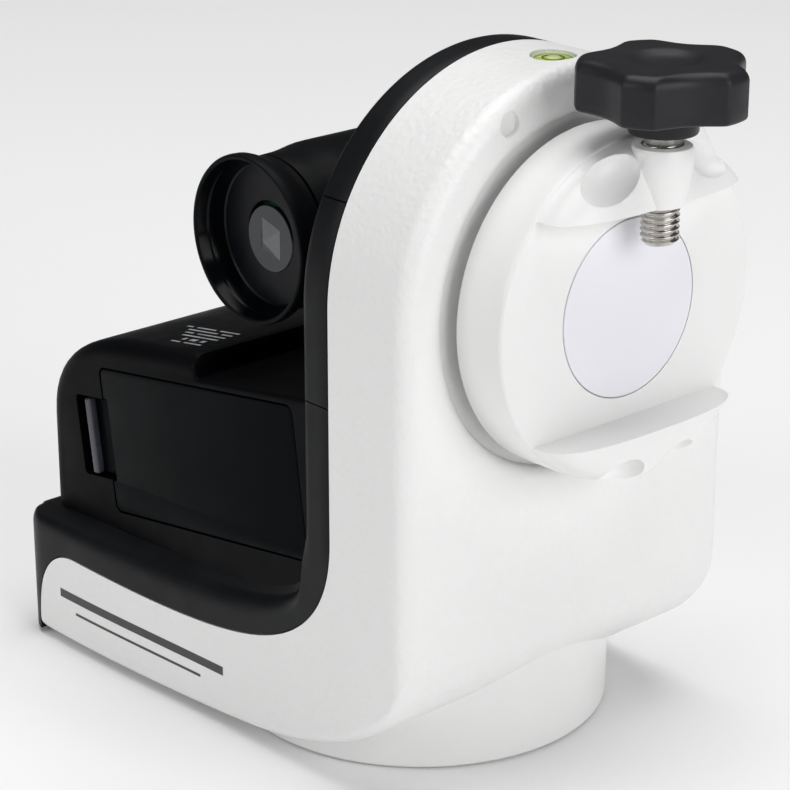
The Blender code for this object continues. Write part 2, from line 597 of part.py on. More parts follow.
cut(saddle, disc("~tap", SCREW_R + GAP, ALT_Z + 15, BOSS_TOP + 5, "Z", (0, SCREW_Y, 0), n=24),
    disc("~label", 19.5, SADDLE_FLOOR - 1, SADDLE_FLOOR + 1.0, "Y", (0, 0, ALT_Z), n=56),
    disc("~core", 7.3, SADDLE_FLOOR + 3.0, SADDLE_BACK + 5, "Y", (0, 0, ALT_Z), n=28))
centre_disc = disc("centre_disc", 19.2, SADDLE_FLOOR - 0.1, SADDLE_FLOOR + 0.7, "Y", (0, 0, ALT_Z), n=56,
                   colour=(0.80, 0.80, 0.86), rough=0.3)
altitude_shaft = lathe("altitude_shaft", [(0, SADDLE_FLOOR + 3.3), (7.0, SADDLE_FLOOR + 3.3), (7.0, -16.4), (0, -16.4)],
                       "Y", (0, 0, ALT_Z), 28, colour=STEEL, rough=0.25, metal=1.0)
clutch_nut = lathe("clutch_nut", [(7.3, -29.8), (12.5, -29.8), (12.5, -25.6), (7.3, -25.6)], "Y", (0, 0, ALT_Z), 32,
                   colour=STEEL, rough=0.35, metal=1.0)
for ob in (saddle, centre_disc, altitude_shaft, altitude_wheel, clutch_nut):
    origin_to(ob, (0, SADDLE_BACK, ALT_Z))

# ---------------------------------------------------------------- clamp screw and knob
clamp_screw = lathe("clamp_screw", [(0, SCREW_TIP), (3.0, SCREW_TIP), (SCREW_R, SCREW_TIP + 1.0), (SCREW_R, 160.1), (0, 160.1)],
                    "Z", (0, SCREW_Y, 0), 24, colour=STEEL, rough=0.25, metal=1.0)


LOBES = 5
LOBE_AT = math.radians(277.7)  # direction of one lobe's middle
SCALLOP = 25.0                 # half angle of the hollow between two lobes, degrees


def lobe_radius(t):
    """Five lobes on the full radius, with shallow hollows between them."""
    a = ((t - LOBE_AT) * LOBES / (2 * math.pi)) % 1.0
    phi = abs(a - 0.5) * 360.0 / LOBES          # from the middle of the hollow
    if phi >= SCALLOP:
        return KNOB_R
    chord = KNOB_R * math.cos(math.radians(SCALLOP)) / math.cos(math.radians(phi))
    return chord - 1.2 * (1 - (phi / SCALLOP) ** 2)


def knob_ring(z, dr, n=90):
    pts = []
    for k in range(n):
        t = 2 * math.pi * k / n + LOBE_AT
        r = lobe_radius(t) - dr
        pts.append((r * math.cos(t), SCREW_Y + r * math.sin(t), z))
    return pts


KZ0, KZ1 = 152.8, 163.4
knob = loft("knob", [knob_ring(KZ0, 1.2), knob_ring(KZ0 + 1.2, 0.0), knob_ring(KZ1 - 1.6, 0.0), knob_ring(KZ1, 1.6)],
            colour=BLACK, rough=0.35)
collar = disc("~collar", 7.2, 148.2, 154.0, "Z", (0, SCREW_Y, 0), n=28)
boolean(knob, collar, "UNION")
cut(knob, disc("~bore", SCREW_R + GAP, 140, 160.5, "Z", (0, SCREW_Y, 0), n=24),
    lathe("~dish", [(0, KZ1 - 1.5), (6.0, KZ1 - 1.5), (7.6, KZ1 + 0.01), (7.6, KZ1 + 3), (0, KZ1 + 3)], "Z", (0, SCREW_Y, 0), 36))
for ob in (clamp_screw, knob):
    origin_to(ob, (0, SCREW_Y, 150.0))

# ---------------------------------------------------------------- sun sensor, on the altitude axis at the back
SC = (0, SENSOR_Y, SENSOR_Z)
sensor_hub = lathe("sensor_hub", [(0, -16.0), (15.0, -16.0), (15.0, -8.4), (13.5, -6.9), (0, -6.9)], "Y", (0, 0, ALT_Z), 40,
                   colour=BLACK, rough=0.45)
sensor_body = lathe("sensor_body", [(0, -30.0), (13.6, -30.0), (13.6, -33.9), (17.0, -33.9), (17.3, -31.6), (BODY_R, -27.0),
                                    (BODY_R, SENSOR_BACK - 2.0), (BODY_R - 2.0, SENSOR_BACK), (0, SENSOR_BACK)],
                    "X", SC, 48, colour=BLACK, rough=0.45)
cut(sensor_body, disc("~hubc", 15.6, -20, -6.5, "Y", (0, 0, ALT_Z), n=40))
sensor_hood = lathe("sensor_hood", [(7.7, -34.3), (17.0, -34.3), (17.6, -36.2), (HOOD_R, -38.6), (HOOD_R, -40.3),
                                    (HOOD_R - 0.7, -41.0), (HOOD_R - 1.4, -40.6), (15.7, -35.6), (7.7, -35.6)],
                    "X", SC, 48, colour=BLACK, rough=0.3)
sensor_window = disc("sensor_window", 7.4, -35.4, -34.2, "X", SC, n=36, colour=(0.05, 0.055, 0.06), rough=0.1)
prism_pts = [(5.0, 0.0), (-2.5, 4.33), (-2.5, -4.33)]
sensor_prism = make("sensor_prism", [(-33.6, SENSOR_Y, SENSOR_Z)] + [(-30.9, SENSOR_Y + a, SENSOR_Z + b) for a, b in prism_pts],
                    [(0, 1, 2), (0, 2, 3), (0, 3, 1), (3, 2, 1)], colour=(0.35, 0.36, 0.37), rough=0.15)
sensor_board = disc("sensor_board", 13.0, -30.6, -30.3, "X", SC, n=24, colour=(0.02, 0.16, 0.07), rough=0.5)
for ob in (sensor_board, sensor_hub, sensor_body, sensor_hood, sensor_window, sensor_prism):
    origin_to(ob, (0, SADDLE_BACK, ALT_Z))
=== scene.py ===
# Star tracker mount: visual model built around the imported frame.
# Lengths in the making are in millimetres, scaled to metres when a mesh is made.
import math

import bpy
import bmesh
from mathutils import Matrix, Vector


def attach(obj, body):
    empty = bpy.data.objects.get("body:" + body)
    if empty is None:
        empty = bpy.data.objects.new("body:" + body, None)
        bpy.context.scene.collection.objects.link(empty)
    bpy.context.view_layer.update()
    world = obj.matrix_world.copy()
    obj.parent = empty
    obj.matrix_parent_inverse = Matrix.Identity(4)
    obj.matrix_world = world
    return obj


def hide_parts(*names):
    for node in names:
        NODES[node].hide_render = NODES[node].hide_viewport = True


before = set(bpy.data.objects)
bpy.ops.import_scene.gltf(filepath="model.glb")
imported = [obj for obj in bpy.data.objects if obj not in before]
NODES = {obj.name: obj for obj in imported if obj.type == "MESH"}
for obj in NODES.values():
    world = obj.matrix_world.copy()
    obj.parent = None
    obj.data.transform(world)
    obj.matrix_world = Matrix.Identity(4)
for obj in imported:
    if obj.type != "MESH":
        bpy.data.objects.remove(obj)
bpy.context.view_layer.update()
MM = 0.001


# ------------------------------------------------------------------ materials
def procedural(name, rgb, rough, metal=0.0, grain=900.0, depth=0.0001, strength=0.5, detail=3.0, cells=0.0,
               tone=60.0, tone_amount=0.04, rough_amount=0.06, coat=0.0, coat_rough=0.1, specular=0.5,
               stretch=(1, 1, 1), painted_glint=0.0, fine=0.0):
    m = bpy.data.materials.new(name)
    m.use_nodes = True
    nt = m.node_tree
    b = nt.nodes["Principled BSDF"]
    b.inputs["Metallic"].default_value = metal
    b.inputs["Specular IOR Level"].default_value = specular
    b.inputs["Coat Weight"].default_value = coat
    b.inputs["Coat Roughness"].default_value = coat_rough
    tc = nt.nodes.new("ShaderNodeTexCoord")
    mp = nt.nodes.new("ShaderNodeMapping")
    mp.inputs["Scale"].default_value = stretch
    nt.links.new(tc.outputs["Object"], mp.inputs["Vector"])

    def noise(scale, det=3.0, dist=0.0):
        n = nt.nodes.new("ShaderNodeTexNoise")
        n.inputs["Scale"].default_value = scale
        n.inputs["Detail"].default_value = det
        n.inputs["Distortion"].default_value = dist
        nt.links.new(mp.outputs["Vector"], n.inputs["Vector"])
        return n

    def ranged(src, a, c):
        r = nt.nodes.new("ShaderNodeMapRange")
        r.inputs["From Min"].default_value = 0.3
        r.inputs["From Max"].default_value = 0.7
        r.inputs["To Min"].default_value = a
        r.inputs["To Max"].default_value = c
        nt.links.new(src, r.inputs["Value"])
        return r.outputs["Result"]

    t = noise(tone, 4.0)
    mix = nt.nodes.new("ShaderNodeMix")
    mix.data_type = "RGBA"
    mix.inputs["A"].default_value = tuple(c * (1 - tone_amount) for c in rgb) + (1,)
    mix.inputs["B"].default_value = tuple(min(1.0, c * (1 + tone_amount)) for c in rgb) + (1,)
    nt.links.new(ranged(t.outputs["Fac"], 0, 1), mix.inputs["Factor"])
    colour = mix.outputs["Result"]
    # painted glint: sparse light flecks mixed into the base colour stand in for the sparkle of the textured moulding in
    # highlights
    if painted_glint:
        sp = noise(5200.0, 1.0)
        glint_mask = nt.nodes.new("ShaderNodeMapRange")
        glint_mask.inputs["From Min"].default_value = 0.70
        glint_mask.inputs["From Max"].default_value = 0.78
        nt.links.new(sp.outputs["Fac"], glint_mask.inputs["Value"])
        m2 = nt.nodes.new("ShaderNodeMix")
        m2.data_type = "RGBA"
        m2.inputs["B"].default_value = (painted_glint, painted_glint, painted_glint * 1.05, 1)
        nt.links.new(colour, m2.inputs["A"])
        nt.links.new(glint_mask.outputs["Result"], m2.inputs["Factor"])
        colour = m2.outputs["Result"]
    nt.links.new(colour, b.inputs["Base Color"])
    r = noise(tone * 2.7, 3.0)
    nt.links.new(ranged(r.outputs["Fac"], max(0.02, rough - rough_amount), min(1.0, rough + rough_amount)),
                 b.inputs["Roughness"])
    if depth:
        g = noise(grain, detail, 0.4)
        height = g.outputs["Fac"]
        if cells:
            v = nt.nodes.new("ShaderNodeTexVoronoi")
            v.feature = "SMOOTH_F1"
            v.inputs["Scale"].default_value = cells
            v.inputs["Smoothness"].default_value = 0.6
            nt.links.new(mp.outputs["Vector"], v.inputs["Vector"])
            add = nt.nodes.new("ShaderNodeMath")
            add.operation = "ADD"
            nt.links.new(height, add.inputs[0])
            nt.links.new(v.outputs["Distance"], add.inputs[1])
            height = add.outputs[0]
        if fine:
            f = noise(fine, 2.0)
            add = nt.nodes.new("ShaderNodeMath")
            add.operation = "MULTIPLY_ADD"
            add.inputs[1].default_value = 0.25
            nt.links.new(f.outputs["Fac"], add.inputs[0])
            nt.links.new(height, add.inputs[2])
            height = add.outputs[0]
        bp = nt.nodes.new("ShaderNodeBump")
        bp.inputs["Strength"].default_value = strength
        bp.inputs["Distance"].default_value = depth
        nt.links.new(height, bp.inputs["Height"])
        nt.links.new(bp.outputs["Normal"], b.inputs["Normal"])
    return m


M = {
    "coat": procedural("white_powder_coat", (0.86, 0.86, 0.855), 0.42, grain=700, depth=0.00030, strength=0.40, cells=620,
                       tone=30, tone_amount=0.012, fine=2600),
    "coat_fine": procedural("white_powder_coat_fine", (0.86, 0.86, 0.855), 0.36, grain=900, depth=0.00016, strength=0.30,
                            tone=30, tone_amount=0.012, fine=3000),
    "label": procedural("pale_label", (0.83, 0.83, 0.885), 0.30, grain=1500, depth=0.00002, strength=0.1, tone=40,
                        tone_amount=0.002, rough_amount=0.01),
    # the fleck values on the black mouldings below are painted glints in the base colour
    "black": procedural("black_moulding", (0.0045, 0.0050, 0.0062), 0.42, grain=3600, depth=0.00006, strength=0.55, tone=45,
                        tone_amount=0.12, painted_glint=0.02, specular=0.17),
    "box": procedural("box_moulding", (0.0022, 0.0024, 0.0032), 0.46, grain=3600, depth=0.00005, strength=0.5, tone=40,
                      tone_amount=0.15, painted_glint=0.005, specular=0.05),
    "door": procedural("door_moulding", (0.0006, 0.0013, 0.0020), 0.36, grain=3000, depth=0.00002, strength=0.35, tone=35,
                       tone_amount=0.15, specular=0.035),
    "knob": procedural("knob_black", (0.0150, 0.0152, 0.0185), 0.42, grain=3400, depth=0.00005, strength=0.4, tone=70,
                       tone_amount=0.1, painted_glint=0.03, specular=0.24),
    "sensor": procedural("sensor_black", (0.0042, 0.0046, 0.0054), 0.44, grain=3400, depth=0.00007, strength=0.6, tone=60,
                         tone_amount=0.12, painted_glint=0.008, specular=0.06),
    "gloss": procedural("sensor_inner", (0.0015, 0.0020, 0.0030), 0.20, grain=1800, depth=0.00001, strength=0.2, tone=60,
                        tone_amount=0.15, specular=0.12),
    "floorblack": procedural("sensor_floor", (0.0035, 0.0040, 0.0060), 0.34, grain=3000, depth=0.00002, strength=0.3, tone=80,
                             tone_amount=0.1, specular=0.15),
    "window": procedural("window_glass", (0.016, 0.018, 0.022), 0.12, grain=900, depth=0.00001, strength=0.1, tone=120,
                         tone_amount=0.15, coat=0.25, coat_rough=0.05, specular=0.3),
    "facet": procedural("window_facets", (0.105, 0.110, 0.118), 0.22, grain=900, depth=0.00001, strength=0.1, tone=120,
                        tone_amount=0.1, coat=0.5, coat_rough=0.05),
    "steel": procedural("stainless", (0.62, 0.60, 0.57), 0.20, metal=1.0, grain=1600, depth=0.00002, strength=0.4, tone=300,
                        tone_amount=0.08, rough_amount=0.08),
    "inner_steel": procedural("machined_steel", (0.56, 0.56, 0.55), 0.34, metal=1.0, grain=2200, depth=0.00002, strength=0.4,
                              tone=200, tone_amount=0.06),
    "bronze": procedural("bronze", (0.62, 0.42, 0.18), 0.32, metal=1.0, grain=2000, depth=0.00002, strength=0.4, tone=180,
                         tone_amount=0.1),
    "alloy": procedural("chassis_alloy", (0.60, 0.61, 0.62), 0.42, metal=0.9, grain=1500, depth=0.00004, strength=0.4,
                        tone=90, tone_amount=0.06),
    "rubber": procedural("base_rubber", (0.022, 0.022, 0.024), 0.75, grain=1400, depth=0.00015, strength=0.6, tone=90,
                         tone_amount=0.2, cells=900),
    "inner": procedural("inner_plastic", (0.022, 0.022, 0.024), 0.5, grain=3000, depth=0.00003, strength=0.4, tone=60,
                        tone_amount=0.15),
    "board": procedural("circuit_board", (0.015, 0.12, 0.05), 0.42, grain=700, depth=0.00004, strength=0.4, tone=400,
                        tone_amount=0.25, cells=350),
    "wrap": procedural("cell_wrap", (0.42, 0.22, 0.055), 0.28, metal=0.35, grain=900, depth=0.00002, strength=0.2, tone=80,
                       tone_amount=0.12),
    "wrap_dark": procedural("cell_wrap_dark", (0.035, 0.036, 0.042), 0.28, grain=900, depth=0.00002, strength=0.2, tone=80,
                            tone_amount=0.12),
    "button": procedural("button_rubber", (0.045, 0.046, 0.050), 0.6, grain=2600, depth=0.00004, strength=0.5, tone=120,
                         tone_amount=0.15),
    "vial": procedural("level_fluid", (0.50, 0.66, 0.09), 0.10, grain=900, depth=0.00001, strength=0.1, tone=200,
                       tone_amount=0.12, coat=0.8, coat_rough=0.03),
    "vial_rim": procedural("level_rim", (0.60, 0.66, 0.42), 0.18, grain=900, depth=0.00001, strength=0.1, tone=200,
                           tone_amount=0.08, coat=0.6, coat_rough=0.05),
    "vial_line": procedural("level_line", (0.055, 0.085, 0.02), 0.3, grain=900, depth=0.00001, strength=0.1, tone=200,
                            tone_amount=0.1),
    "bubble": procedural("level_bubble", (0.78, 0.86, 0.45), 0.06, grain=900, depth=0.00001, strength=0.1, tone=200,
                         tone_amount=0.05, coat=1.0, coat_rough=0.02),
    "print_white": procedural("print_white", (0.32, 0.33, 0.34), 0.5, grain=2000, depth=0.00001, strength=0.2, tone=500,
                              tone_amount=0.25),
    "print_dark": procedural("print_dark", (0.040, 0.040, 0.045), 0.4, grain=2000, depth=0.00001, strength=0.2, tone=300,
                             tone_amount=0.1),
    # latch tab colour: the lighter grey is a painted highlight standing in for the shine on the rounded tab
    "bar": procedural("latch_tab_painted_highlight", (0.055, 0.055, 0.070), 0.30, grain=2600, depth=0.00002, strength=0.3, tone=120,
                      tone_amount=0.1),
}


# ------------------------------------------------------------------ mesh helpers
def make(name, verts, faces, mat=None, angle=32.0):
    me = bpy.data.meshes.new(name)
    me.from_pydata([Vector(v) * MM for v in verts], [], faces)
    me.validate()
    bm = bmesh.new()
    bm.from_mesh(me)
    bmesh.ops.remove_doubles(bm, verts=bm.verts, dist=1e-7)
    bmesh.ops.recalc_face_normals(bm, faces=bm.faces)
    if bm.calc_volume(signed=True) < 0:
        bmesh.ops.reverse_faces(bm, faces=bm.faces)
    bm.to_mesh(me)
    bm.free()
    ob = bpy.data.objects.new(name, me)
    bpy.context.scene.collection.objects.link(ob)
    if mat:
        me.materials.append(M[mat])
    me.shade_smooth()
    me.set_sharp_from_angle(angle=math.radians(angle))
    return ob


def bake(ob, angle=32.0):
    bpy.context.view_layer.update()
    me = bpy.data.meshes.new_from_object(ob.evaluated_get(bpy.context.evaluated_depsgraph_get()))
    ob.modifiers.clear()
    old = ob.data
    ob.data = me
    bpy.data.meshes.remove(old)
    me.name = ob.name
    bm = bmesh.new()
    bm.from_mesh(me)
    bmesh.ops.remove_doubles(bm, verts=bm.verts, dist=1e-6)
    bmesh.ops.dissolve_degenerate(bm, edges=bm.edges, dist=1e-6)
    bm.to_mesh(me)
    bm.free()
    me.shade_smooth()
    me.set_sharp_from_angle(angle=math.radians(angle))
    return ob


def boolean(ob, other, op="DIFFERENCE"):
    m = ob.modifiers.new("b", "BOOLEAN")
    m.operation = op
    m.solver = "EXACT"
    m.object = other
    bake(ob)
    bpy.data.objects.remove(other, do_unlink=True)
    return ob


def cut(ob, *others):
    for o in others:
        boolean(ob, o)
    return ob


def bevel(ob, width, segments=3, angle=35.0, profile=0.5):
    m = ob.modifiers.new("bevel", "BEVEL")
    m.width = width * MM
    m.segments = segments
    m.limit_method = "ANGLE"
    m.angle_limit = math.radians(angle)
    m.profile = profile
    m.use_clamp_overlap = True
    m.harden_normals = False
    return bake(ob)


def loft(name, rings, mat=None, angle=32.0):
    n = len(rings[0])
    verts = [p for r in rings for p in r]
    faces = []
    for i in range(len(rings) - 1):
        a, b = i * n, (i + 1) * n
        for j in range(n):
            k = (j + 1) % n
            faces.append((a + j, a + k, b + k, b + j))
    faces.append(tuple(range(n))[::-1])
    last = (len(rings) - 1) * n
    faces.append(tuple(last + j for j in range(n)))
    return make(name, verts, faces, mat, angle)


def prism(name, poly, axis, a, b, mat=None):
    def pt(p, t):
        return {"X": (t, p[0], p[1]), "Y": (p[0], t, p[1]), "Z": (p[0], p[1], t)}[axis]
    return loft(name, [[pt(p, a) for p in poly], [pt(p, b) for p in poly]], mat)


def box(name, lo, hi, mat=None):
    return prism(name, [(lo[0], lo[1]), (hi[0], lo[1]), (hi[0], hi[1]), (lo[0], hi[1])], "Z", lo[2], hi[2], mat)


def lathe(name, profile, axis="Z", centre=(0, 0, 0), n=128, mat=None, angle=32.0):
    cx, cy, cz = centre

    def pt(r, h, t):
        c, s = r * math.cos(t), r * math.sin(t)
        if axis == "Z":
            return (cx + c, cy + s, cz + h)
        if axis == "Y":
            return (cx + c, cy + h, cz + s)
        return (cx + h, cy + c, cz + s)

    verts, faces, rows = [], [], []
    for r, h in profile:
        if r < 1e-9:
            verts.append(pt(0, h, 0))
            rows.append([len(verts) - 1])
        else:
            rows.append(list(range(len(verts), len(verts) + n)))
            verts += [pt(r, h, 2 * math.pi * k / n) for k in range(n)]
    pairs = list(zip(rows, rows[1:]))
    if profile[0][0] > 1e-9:
        pairs.append((rows[-1], rows[0]))
    for a, b in pairs:
        for j in range(n):
            k = (j + 1) % n
            if len(a) == 1 and len(b) == 1:
                continue
            if len(a) == 1:
                faces.append((a[0], b[k], b[j]))
            elif len(b) == 1:
                faces.append((a[j], a[k], b[0]))
            else:
                faces.append((a[j], a[k], b[k], b[j]))
    return make(name, verts, faces, mat, angle)


def disc(name, r, a, b, axis="Z", centre=(0, 0, 0), n=96, mat=None, c=0.0):
    if c:
        p = [(0, a), (r - c, a), (r - 0.3 * c, a + 0.3 * c), (r, a + c), (r, b - c), (r - 0.3 * c, b - 0.3 * c), (r - c, b), (0, b)]
    else:
        p = [(0, a), (r, a), (r, b), (0, b)]
    return lathe(name, p, axis, centre, n, mat)


def bez(p0, p1, p2, p3, n):
    out = []
    for i in range(n + 1):
        t = i / n
        a, b, c, d = (1 - t) ** 3, 3 * t * (1 - t) ** 2, 3 * t * t * (1 - t), t ** 3
        out.append(tuple(a * p0[k] + b * p1[k] + c * p2[k] + d * p3[k] for k in range(2)))
    return out


def arc(cx, cy, r, a0, a1, n):
    return [(cx + r * math.cos(math.radians(a0 + (a1 - a0) * k / n)), cy + r * math.sin(math.radians(a0 + (a1 - a0) * k / n)))
            for k in range(n + 1)]


def smooth(t):
    t = max(0.0, min(1.0, t))
    return t * t * (3 - 2 * t)


def interp(y, pts):
    if y <= pts[0][0]:
        return pts[0][1]
    for (a, u), (b, v) in zip(pts, pts[1:]):
        if y <= b:
            return u + (v - u) * (y - a) / (b - a)
    return pts[-1][1]


def monotone(pts):
    """Smooth curve through points, with no overshoot."""
    n = len(pts)
    d = [(pts[i + 1][1] - pts[i][1]) / (pts[i + 1][0] - pts[i][0]) for i in range(n - 1)]
    m = [d[0]] + [0.0 if d[i - 1] * d[i] <= 0 else 2 * d[i - 1] * d[i] / (d[i - 1] + d[i]) for i in range(1, n - 1)] + [d[-1]]

    def f(x):
        x = max(pts[0][0], min(pts[-1][0], x))
        for i in range(n - 1):
            if x <= pts[i + 1][0]:
                break
        h = pts[i + 1][0] - pts[i][0]
        t = (x - pts[i][0]) / h
        return ((2 * t ** 3 - 3 * t * t + 1) * pts[i][1] + (t ** 3 - 2 * t * t + t) * h * m[i]
                + (-2 * t ** 3 + 3 * t * t) * pts[i + 1][1] + (t ** 3 - t * t) * h * m[i + 1])
    return f


def done(ob, body, slot, *replaced):
    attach(ob, body)
    if replaced:
        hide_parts(*replaced)
    return ob


# ------------------------------------------------------------------ shared dimensions, mm
GAP = 0.3
ALT_Z = 109.35
FRONT_Y, SEAM_Y, COVER_Y = -49.14, -25.36, -16.14
ARCH_R, EDGE_R = 49.1, 4.0
WALL, SKIN = 2.6, 2.3
FOOT_W, REAR_Y, REAR_R = 52.2, 89.24, 9.9
DRUM_R, DRUM_TOP = 44.0, 25.6
SADDLE_R, SADDLE_BACK, SADDLE_FLOOR = 37.0, -50.64, -63.69
JAW_HALF = 24.0
SCREW_Y, SCREW_R, SCREW_TIP = -71.34, 4.0, 125.1
BOSS_R, BOSS_TOP = 6.3, 145.9
KNOB_R = 17.9
LEVEL_Y = -40.14
BOX_W, BOX_REAR = 45.5, 84.1
TILT = math.radians(8.4)
DOOR_C = (23.9, 60.95)
DOOR_L, DOOR_H = 71.0, 35.0
SENSOR_Y, SENSOR_Z = 11.19, 114.9

CHIN = bez((FRONT_Y, 38.0), (FRONT_Y, 21.0), (-32.0, 8.5), (-2.0, 3.3), 90)


def bottom(y):
    if y > -2.0:
        return 0.9 + 2.4 * math.exp(-(y + 2.0) / 18.0)
    return interp(y, CHIN)


def half_width(y):
    w = ARCH_R + (FOOT_W - ARCH_R) * smooth((y + 8.0) / 82.0)
    if y > REAR_Y - REAR_R:
        d = min(y - (REAR_Y - REAR_R), REAR_R)
        w -= REAR_R - math.sqrt(max(REAR_R ** 2 - d * d, 0.0))
    return w


def front_round(y, y0, r):
    d = r - (y - y0)
    return r - math.sqrt(max(r * r - d * d, 0.0)) if d > 0 else 0.0


def arch_outline(w, zb, corner=3.0, arch=112, cn=8):
    pts = []
    for k in range(cn + 1):
        t = math.pi * 1.5 + math.pi / 2 * k / cn
        pts.append((w - corner + corner * math.cos(t), zb + corner + corner * math.sin(t)))
    for k in range(arch + 1):
        t = math.pi * k / arch
        pts.append((w * math.cos(t), ALT_Z + w * math.sin(t)))
    for k in range(cn + 1):
        t = math.pi + math.pi / 2 * k / cn
        pts.append((-w + corner + corner * math.cos(t), zb + corner + corner * math.sin(t)))
    return pts


def casing(name, inset, y0, y1, fine=True):
    r = max(EDGE_R - inset, 1.0)
    ys = [y0 + r * (1 - math.cos(math.pi / 2 * k / (10 if fine else 3))) for k in range(11 if fine else 4)]
    y = ys[-1] + 0.8
    while y < min(y1, REAR_Y - REAR_R):
        ys.append(y)
        y += (1.2 if y < -5 else 4.0) if fine else 5.0
    if y1 > REAR_Y - REAR_R:
        ys += [REAR_Y - REAR_R + REAR_R * math.sin(math.pi / 2 * k / 8) for k in range(9)]
    else:
        ys.append(y1)
    if y1 > REAR_Y:
        ys.append(y1)
    rings = []
    for y in ys:
        e = front_round(y, y0, r)
        w = half_width(min(y, REAR_Y)) - inset - e
        rings.append([(x, y, z) for x, z in arch_outline(w, bottom(max(y - inset, FRONT_Y)) + inset, 3.2,
                                                         112 if fine else 40, 8 if fine else 3)])
    return loft(name, rings)


SEAM = (bez((SEAM_Y, 58.0), (SEAM_Y, 36.5), (-8.0, 28.2), (8.7, 25.5), 36)
        + bez((8.7, 25.5), (25.0, 22.6), (50.0, 23.8), (66.0, 24.1), 20)[1:]
        + bez((66.0, 24.1), (76.0, 24.3), (81.2, 16.0), (81.2, 4.0), 20)[1:])


def offset_line(pts, d):
    out = []
    for i, p in enumerate(pts):
        t = (Vector(pts[min(i + 1, len(pts) - 1)]) - Vector(pts[max(i - 1, 0)])).normalized()
        out.append((p[0] - t.y * d, p[1] + t.x * d))
    return out


# ------------------------------------------------------------------ white front shell
shell = casing("shell_white", 0.0, FRONT_Y, REAR_Y)
boolean(shell, prism("tmp", [(-60, 190), (SEAM_Y, 190)] + SEAM + [(81.2, -8), (-60, -8)], "X", -60, 60), "INTERSECT")
boolean(shell, casing("tmp", WALL, FRONT_Y + WALL, 100.0, False))
lip = [(0, FRONT_Y - 2.0), (41.6, FRONT_Y - 2.0), (41.6, FRONT_Y - 0.001)]
lip += [(38.6 + 3.0 * (1 - math.sin(math.radians(t))), FRONT_Y + 1.5 * (1 - math.cos(math.radians(t)))) for t in range(8, 91, 12)]
lip += [(38.5, FRONT_Y + 2.1), (0, FRONT_Y + 2.1)]
cut(shell,
    disc("tmp", DRUM_R + GAP + 0.1, -12, 27.0, n=128),
    lathe("tmp", lip, "Y", (0, 0, ALT_Z), 144),
    disc("tmp", 13.6, FRONT_Y - 3, FRONT_Y + 6, "Y", (0, 0, ALT_Z), 64),
    disc("tmp", 4.95, 150, 170, "Z", (0, LEVEL_Y, 0), 72),
    lathe("tmp", [(0, FRONT_Y - 1), (3.0, FRONT_Y - 1), (3.0, FRONT_Y), (2.65, FRONT_Y + 0.35), (2.5, FRONT_Y + 1.4), (1.9, FRONT_Y + 1.75), (0, FRONT_Y + 1.8)],
          "Y", (-20.6, 0, ALT_Z + 39.6), 48))
shell.data.materials.clear()
shell.data.materials.append(M["coat"])
done(shell, "arm", "powder_white", "front_shell")

# ------------------------------------------------------------------ black arm covers
PART_LOW, PART_HIGH = 88.3, 131.9
Y_IN = SEAM_Y + GAP


def cover(name, z0, z1):
    R = 2.6
    prof = [(Y_IN, 0.35), (Y_IN + 0.12, 0.10), (Y_IN + 0.35, 0.0), (Y_IN + 3, 0.0)]
    prof += [(COVER_Y - R + R * math.sin(math.pi / 2 * k / 8), R - R * math.cos(math.pi / 2 * k / 8)) for k in range(9)]
    ob = loft(name, [[(x, y, z) for x, z in arch_outline(ARCH_R - e, 20, 3.2)] for y, e in prof], "black")
    cut(ob, loft("tmp", [[(x, y, z) for x, z in arch_outline(ARCH_R - SKIN, 14, 3.2, 60)] for y in (Y_IN - 1, COVER_Y - SKIN)]))
    boolean(ob, box("tmp", (-60, -60, z0), (60, 10, z1)), "INTERSECT")
    if z0 < ALT_Z < z1:
        cut(ob, disc("tmp", 15.6, -30, 0, "Y", (0, 0, ALT_Z), 64))
    ob.data.materials.clear()
    ob.data.materials.append(M["black"])
    return ob


done(cover("cover_mid", PART_LOW + GAP / 2, PART_HIGH - GAP / 2), "arm", "black_moulding", "mid_cover")
done(cover("cover_arch", PART_HIGH + GAP / 2, 170), "arm", "black_moulding", "arch_cover")

# ------------------------------------------------------------------ black foot cover
inner_fold = monotone([(COVER_Y, 58.0), (-15.2, 51.0), (-13.2, 46.4), (-10.6, 43.2), (-2.9, 39.9), (10.2, 37.2), (29.4, 35.5),
                       (49.4, 34.2), (68.3, 33.4), (78.6, 32.5), (REAR_Y, 31.6)])
outer_fold = monotone([(COVER_Y, 54.0), (-15.4, 47.0), (-14.0, 42.4), (-8.0, 37.2), (-0.7, 34.6), (13.7, 32.0), (30.0, 31.1),
                       (REAR_Y, 30.9)])


